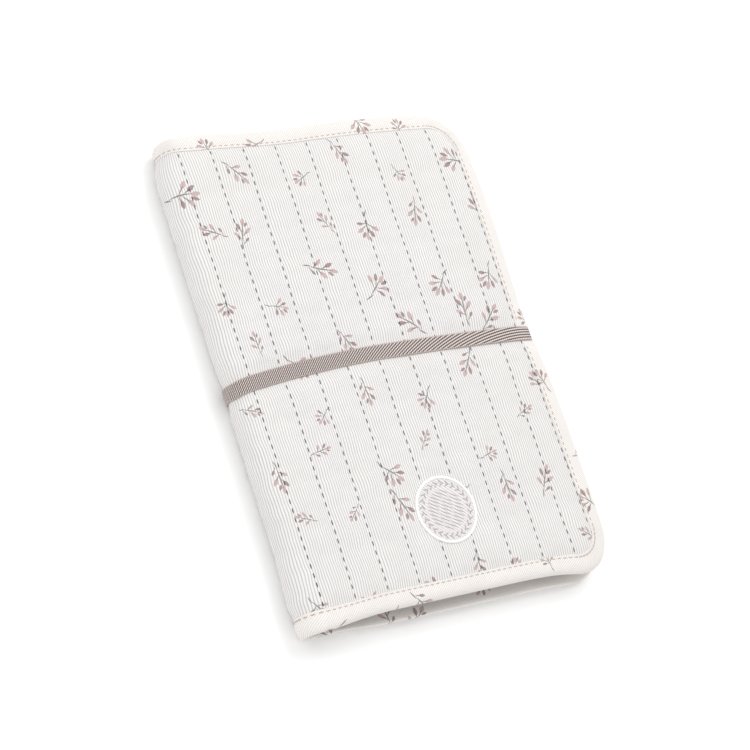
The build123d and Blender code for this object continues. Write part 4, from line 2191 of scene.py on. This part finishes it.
@dataclass
class FoldStrip:
    """Cloth strip that joins two panels along a fold, laid folded on itself."""

    name: str
    bodies: tuple[str, str]
    fold: Vector
    reach: float
    wardrobe: Wardrobe
    half_length: float = 120 * MM
    gap: float = 0.1 * MM

    def build(self) -> None:
        """Make the strip, folded on itself at the fold line."""
        side = math.copysign(1.0, self.reach)
        length = 2 * abs(self.reach)

        def place(a: float, b: float) -> Vector:
            """Lay one point, from the lower panel round the fold to the upper one."""
            along = abs(1 - 2 * b) * abs(self.reach)
            level = self.gap * (1 if b > 0.5 else -1) * min(1.0, along / (0.4 * MM))
            return Vector((self.fold.x - side * along, (a * 2 - 1) * self.half_length, self.fold.z + level))

        def plan(a: float, b: float) -> Vector:
            """Give the strip's own coordinates."""
            return Vector((b * length, a * 2 * self.half_length + 0.15))

        bm = cloth_grid(40, 16, place, plan)
        piece = new_piece(self.name, bm, self.wardrobe.binding)
        list(self.bodies)
        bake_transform(piece)
        list(self.bodies)


@dataclass
class HeadCushion:
    """Soft cushion for the baby's head, sewn to the back cover's lining."""

    wardrobe: Wardrobe
    corner: float = 24 * MM
    shrink: float = 3.0 * MM

    def build(self) -> None:
        """Blow the cushion up, rest it on the lining and pipe its edge."""
        low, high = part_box("head_cushion")
        size = high - low - Vector((2, 2, 0)) * self.shrink
        middle = (low + high) / 2
        bm = bmesh.new()
        bmesh.ops.create_cube(bm, size=1.0)
        bmesh.ops.scale(bm, vec=(size.x, size.y, size.z * 0.62), verts=bm.verts)
        upright = [edge for edge in bm.edges if abs((edge.verts[0].co - edge.verts[1].co).z) > MM]
        bmesh.ops.bevel(
            bm,
            geom=upright,
            offset=self.corner - self.shrink,
            segments=8,
            profile=0.5,
            affect="EDGES",
            material=-1,
        )
        bmesh.ops.translate(bm, vec=middle, verts=bm.verts)
        piece = new_piece("head_cushion_pad", bm, self.wardrobe.wipe)
        remesh = piece.modifiers.new("Even", "REMESH")
        remesh.mode = "VOXEL"
        remesh.voxel_size = 2.6 * MM
        settle(piece)
        inflate(piece, [], pressure=4.0, cap=3.0 * MM, slack=0.01)
        for vert in piece.data.vertices:
            off = Vector(((vert.co.x - middle.x) / size.x * 2, (vert.co.y - middle.y) / size.y * 2))
            crown = max(0.0, 1.0 - max(abs(off.x), abs(off.y)) ** 4)
            if vert.co.z > middle.z:
                vert.co.z = min(vert.co.z + 1.4 * MM * crown, high.z)
            vert.co.z = max(vert.co.z, low.z + 0.15 * MM)
        piece.data.materials.clear()
        piece.data.materials.append(self.wardrobe.wipe)
        piece.data.shade_smooth()
        plan_uv(piece.data)
        soften(piece)
        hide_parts("head_cushion")
        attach(piece, "back_cover")
        self._piping(low, high)

    def _piping(self, low: Vector, high: Vector) -> None:
        """Make the corded seam round the cushion's foot.

        Args:
            low: its lowest corner.
            high: its highest corner.
        """
        path = PlanPath.rounded_box(low, high, self.corner, self.corner)
        radius = 1.3 * MM
        angles = [k * math.pi / 4 for k in range(8)]
        profile = tuple((radius * (1 - math.cos(t)) + 0.2 * MM, radius * math.sin(t)) for t in angles)
        level = low.z + radius + 0.3 * MM

        def place(x: float, y: float, height: float) -> Vector:
            """Put a point of the piping in space."""
            return Vector((x, y, level + height))

        tape = EdgeTape(path, profile, place, gather=0.03 * MM)
        piece = tape.make("head_cushion_piping", self.wardrobe.binding)
        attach(piece, "back_cover")


# ---------------------------------------------------------------- closing band


@dataclass
class ClosingBand:
    """Loop of braided elastic round the closed pad."""

    front: CoverForm
    back: CoverForm
    wardrobe: Wardrobe
    thickness: float = 1.0 * MM
    front_rise: float = 0.7 * MM
    back_rise: float = 0.52 * MM
    corner: float = 3.0 * MM
    slope: float = 1.0

    def build(self) -> None:
        """Carry the band's flat section round the loop."""
        line = self._line()
        steps = [0.0]
        for first, second in zip(line, [*line[1:], line[0]]):
            steps.append(steps[-1] + (second - first).length)
        section = self._section()
        sides = len(section)
        count = len(line)

        def place(a: float, b: float) -> Vector:
            """Put one point of the band in space."""
            index = round(a * count) % count
            ahead = (line[(index + 1) % count] - line[index - 1]).normalized()
            out = ahead.cross(Vector((0.0, 1.0, 0.0))).normalized()
            across, height = section[round(b * sides) % sides]
            return line[index] + Vector((0.0, across, 0.0)) + out * height

        def plan(a: float, b: float) -> Vector:
            """Give the band's own coordinates, along and across."""
            return Vector((steps[round(a * count)], section[round(b * sides) % sides][0]))

        bm = cloth_grid(count, sides, place, plan)
        self._add_braid(bm, steps[-1])
        piece = new_piece("elastic_loop", bm, self.wardrobe.elastic)
        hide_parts("elastic_band")
        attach(piece, "closing_band")
        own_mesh(piece)

    def _section(self) -> list[tuple[float, float]]:
        """Flat oval section of the band.

        Returns:
            Points round it, each as the offset along the pad and outwards.
        """
        half_width = self.front.band.half_width
        points = []
        for angle in (2 * math.pi * k / 24 for k in range(24)):
            flattened = min(1.0, abs(math.cos(angle)) ** 0.25)
            across = half_width * math.copysign(flattened, math.cos(angle))
            points.append((across, 0.5 * self.thickness * math.sin(angle)))
        return points

    def _line(self) -> list[Vector]:
        """Points of the band's middle, once round the loop from the fore-edge over the top.

        Returns:
            The points, in order.
        """
        sizes, band = self.front.sizes, self.front.band
        edge_u = sizes.fore_edge - self.corner
        top = [mixed(edge_u, sizes.spine_end, k / 78) for k in range(78)]
        points = [self.front.place(u, band.y(u), self.front.held_height(u) + self.front_rise) for u in top]
        for u in reversed([*top, sizes.spine_end][1:]):
            share = ease(sizes.spine_end, sizes.spine_x + 10 * MM, u)
            rise = mixed(self.front_rise, self.back_rise, share)
            points.append(self.back.place(u, band.y(u), self.back.held_height(u) + rise))
        last, first = points[-1], points[0]
        for share in (0.04, 0.14, 0.3, 0.5, 0.7, 0.86, 0.96):
            bulge = math.sin(math.pi * share) ** 0.35 * (self.corner - 0.2 * MM)
            points.append(Vector((last.x + bulge, band.y(edge_u), mixed(last.z, first.z, share))))
        return points

    def _add_braid(self, bm: bmesh.types.BMesh, length: float) -> None:
        """Add the map that slants the braid over the spine side and straightens it at the fore-edge.

        Args:
            bm: the band's mesh.
            length: length of the loop.
        """
        plain = bm.loops.layers.uv["Cloth"]
        braid = bm.loops.layers.uv.new("Braid")
        curve = 0.34 * length
        for face in bm.faces:
            for loop in face.loops:
                along, across = loop[plain].uv
                slant = along * along / (2 * curve) if along < curve else along - curve / 2
                loop[braid].uv = (along, across + self.slope * slant)


# ---------------------------------------------------------------- studio


@dataclass(frozen=True)
class Studio:
    """Pale floor, soft light and the camera."""

    aim: Vector
    distance: float = 1.6498
    azimuth: float = math.radians(-66.26)
    elevation: float = math.radians(53.40)
    roll: float = math.radians(52.06)
    lens: float = 124.8

    def build(self) -> None:
        """Set the whole studio up."""
        self._floor()
        self._camera()
        self._light("Key", (0.75, 0.85, 1.5), 1.4, 15.5)
        self._light("Fill", (-1.2, 0.3, 1.1), 1.2, 5.5)
        self._light("Near", (-0.2, -1.4, 1.0), 1.2, 1.2)
        world = bpy.data.worlds.new("Studio")
        world.use_nodes = True
        background = world.node_tree.nodes["Background"]
        background.inputs["Color"].default_value = (1.0, 1.0, 1.0, 1.0)
        background.inputs["Strength"].default_value = 0.84
        bpy.context.scene.world = world
        bpy.context.scene.view_settings.view_transform = "Standard"

    def _floor(self) -> None:
        """Lay the pale floor."""
        bm = bmesh.new()
        bmesh.ops.create_grid(bm, x_segments=1, y_segments=1, size=6.0)
        bmesh.ops.translate(bm, vec=(0.0, 0.0, -0.1 * MM), verts=bm.verts)
        material = bpy.data.materials.new("floor")
        material.use_nodes = True
        shader = material.node_tree.nodes["Principled BSDF"]
        shader.inputs["Base Color"].default_value = (0.96, 0.96, 0.96, 1.0)
        shader.inputs["Roughness"].default_value = 0.95
        shader.inputs["Specular IOR Level"].default_value = 0.0
        new_piece("floor", bm, material)

    def _camera(self) -> None:
        """Set the camera at its angle, turned about its own line of sight."""
        flat = math.cos(self.elevation)
        across, behind = math.sin(self.azimuth) * flat, -math.cos(self.azimuth) * flat
        back = Vector((across, behind, math.sin(self.elevation)))
        data = bpy.data.cameras.new("Camera")
        data.lens = self.lens
        data.sensor_width = 36.0
        data.clip_start, data.clip_end = 0.05, 50.0
        camera = bpy.data.objects.new("Camera", data)
        bpy.context.scene.collection.objects.link(camera)
        camera.rotation_mode = "QUATERNION"
        level = (-back).to_track_quat("-Z", "Y")
        camera.rotation_quaternion = level @ Matrix.Rotation(self.roll, 4, "Z").to_quaternion()
        camera.location = self.aim + back * self.distance
        bpy.context.scene.camera = camera

    def _light(self, name: str, place: tuple[float, float, float], size: float, power: float) -> None:
        """Hang one soft square light that faces the pad.

        Args:
            name: name of the light.
            place: where it hangs.
            size: length of its side.
            power: its power in watts.
        """
        data = bpy.data.lights.new(name, "AREA")
        data.size = size
        data.energy = power
        light = bpy.data.objects.new(name, data)
        light.location = place
        light.rotation_mode = "QUATERNION"
        light.rotation_quaternion = Vector(place).to_track_quat("Z", "Y")
        bpy.context.scene.collection.objects.link(light)


def main() -> None:
    """Build the pad piece by piece."""
    logging.basicConfig(level=logging.INFO, format="%(name)s: %(message)s")
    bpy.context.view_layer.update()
    sizes = PadSizes.from_frame()
    band_low, band_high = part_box("elastic_band")
    band = BandLine((band_low.y + band_high.y) / 2)
    badge_low, badge_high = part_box("badge_base")
    badge = (badge_low + badge_high) / 2
    wardrobe = Wardrobe()
    Studio(Vector((-0.0167, -0.0131, sizes.height))).build()
    front = QuiltedCover(CoverForm(sizes, band, Side.FRONT), wardrobe, badge)
    back = QuiltedCover(CoverForm(sizes, band, Side.BACK), wardrobe, badge)
    front.build()
    back.build()
    EmbroideredBadge(front, badge, (badge_high.x - badge_low.x) / 2).build()
    CoverPockets(front.form, wardrobe).build()
    HeadCushion(wardrobe).build()
    MatPanel(1, False, wardrobe).build()
    MatPanel(2, True, wardrobe).build()
    folds = {joint["name"]: Vector(joint["pos_m"]) for joint in frame["joints"] if "pos_m" in joint}
    first, second = folds["mat_fold_1"], folds["mat_fold_2"]
    FoldStrip("mat_1_fold_strip", ("back_cover", "mat_panel_1"), first, 6 * MM, wardrobe).build()
    FoldStrip("mat_2_fold_strip", ("mat_panel_1", "mat_panel_2"), second, -6 * MM, wardrobe).build()
    ClosingBand(front.form, back.form, wardrobe).build()


if __name__ == "__main__":
    main()
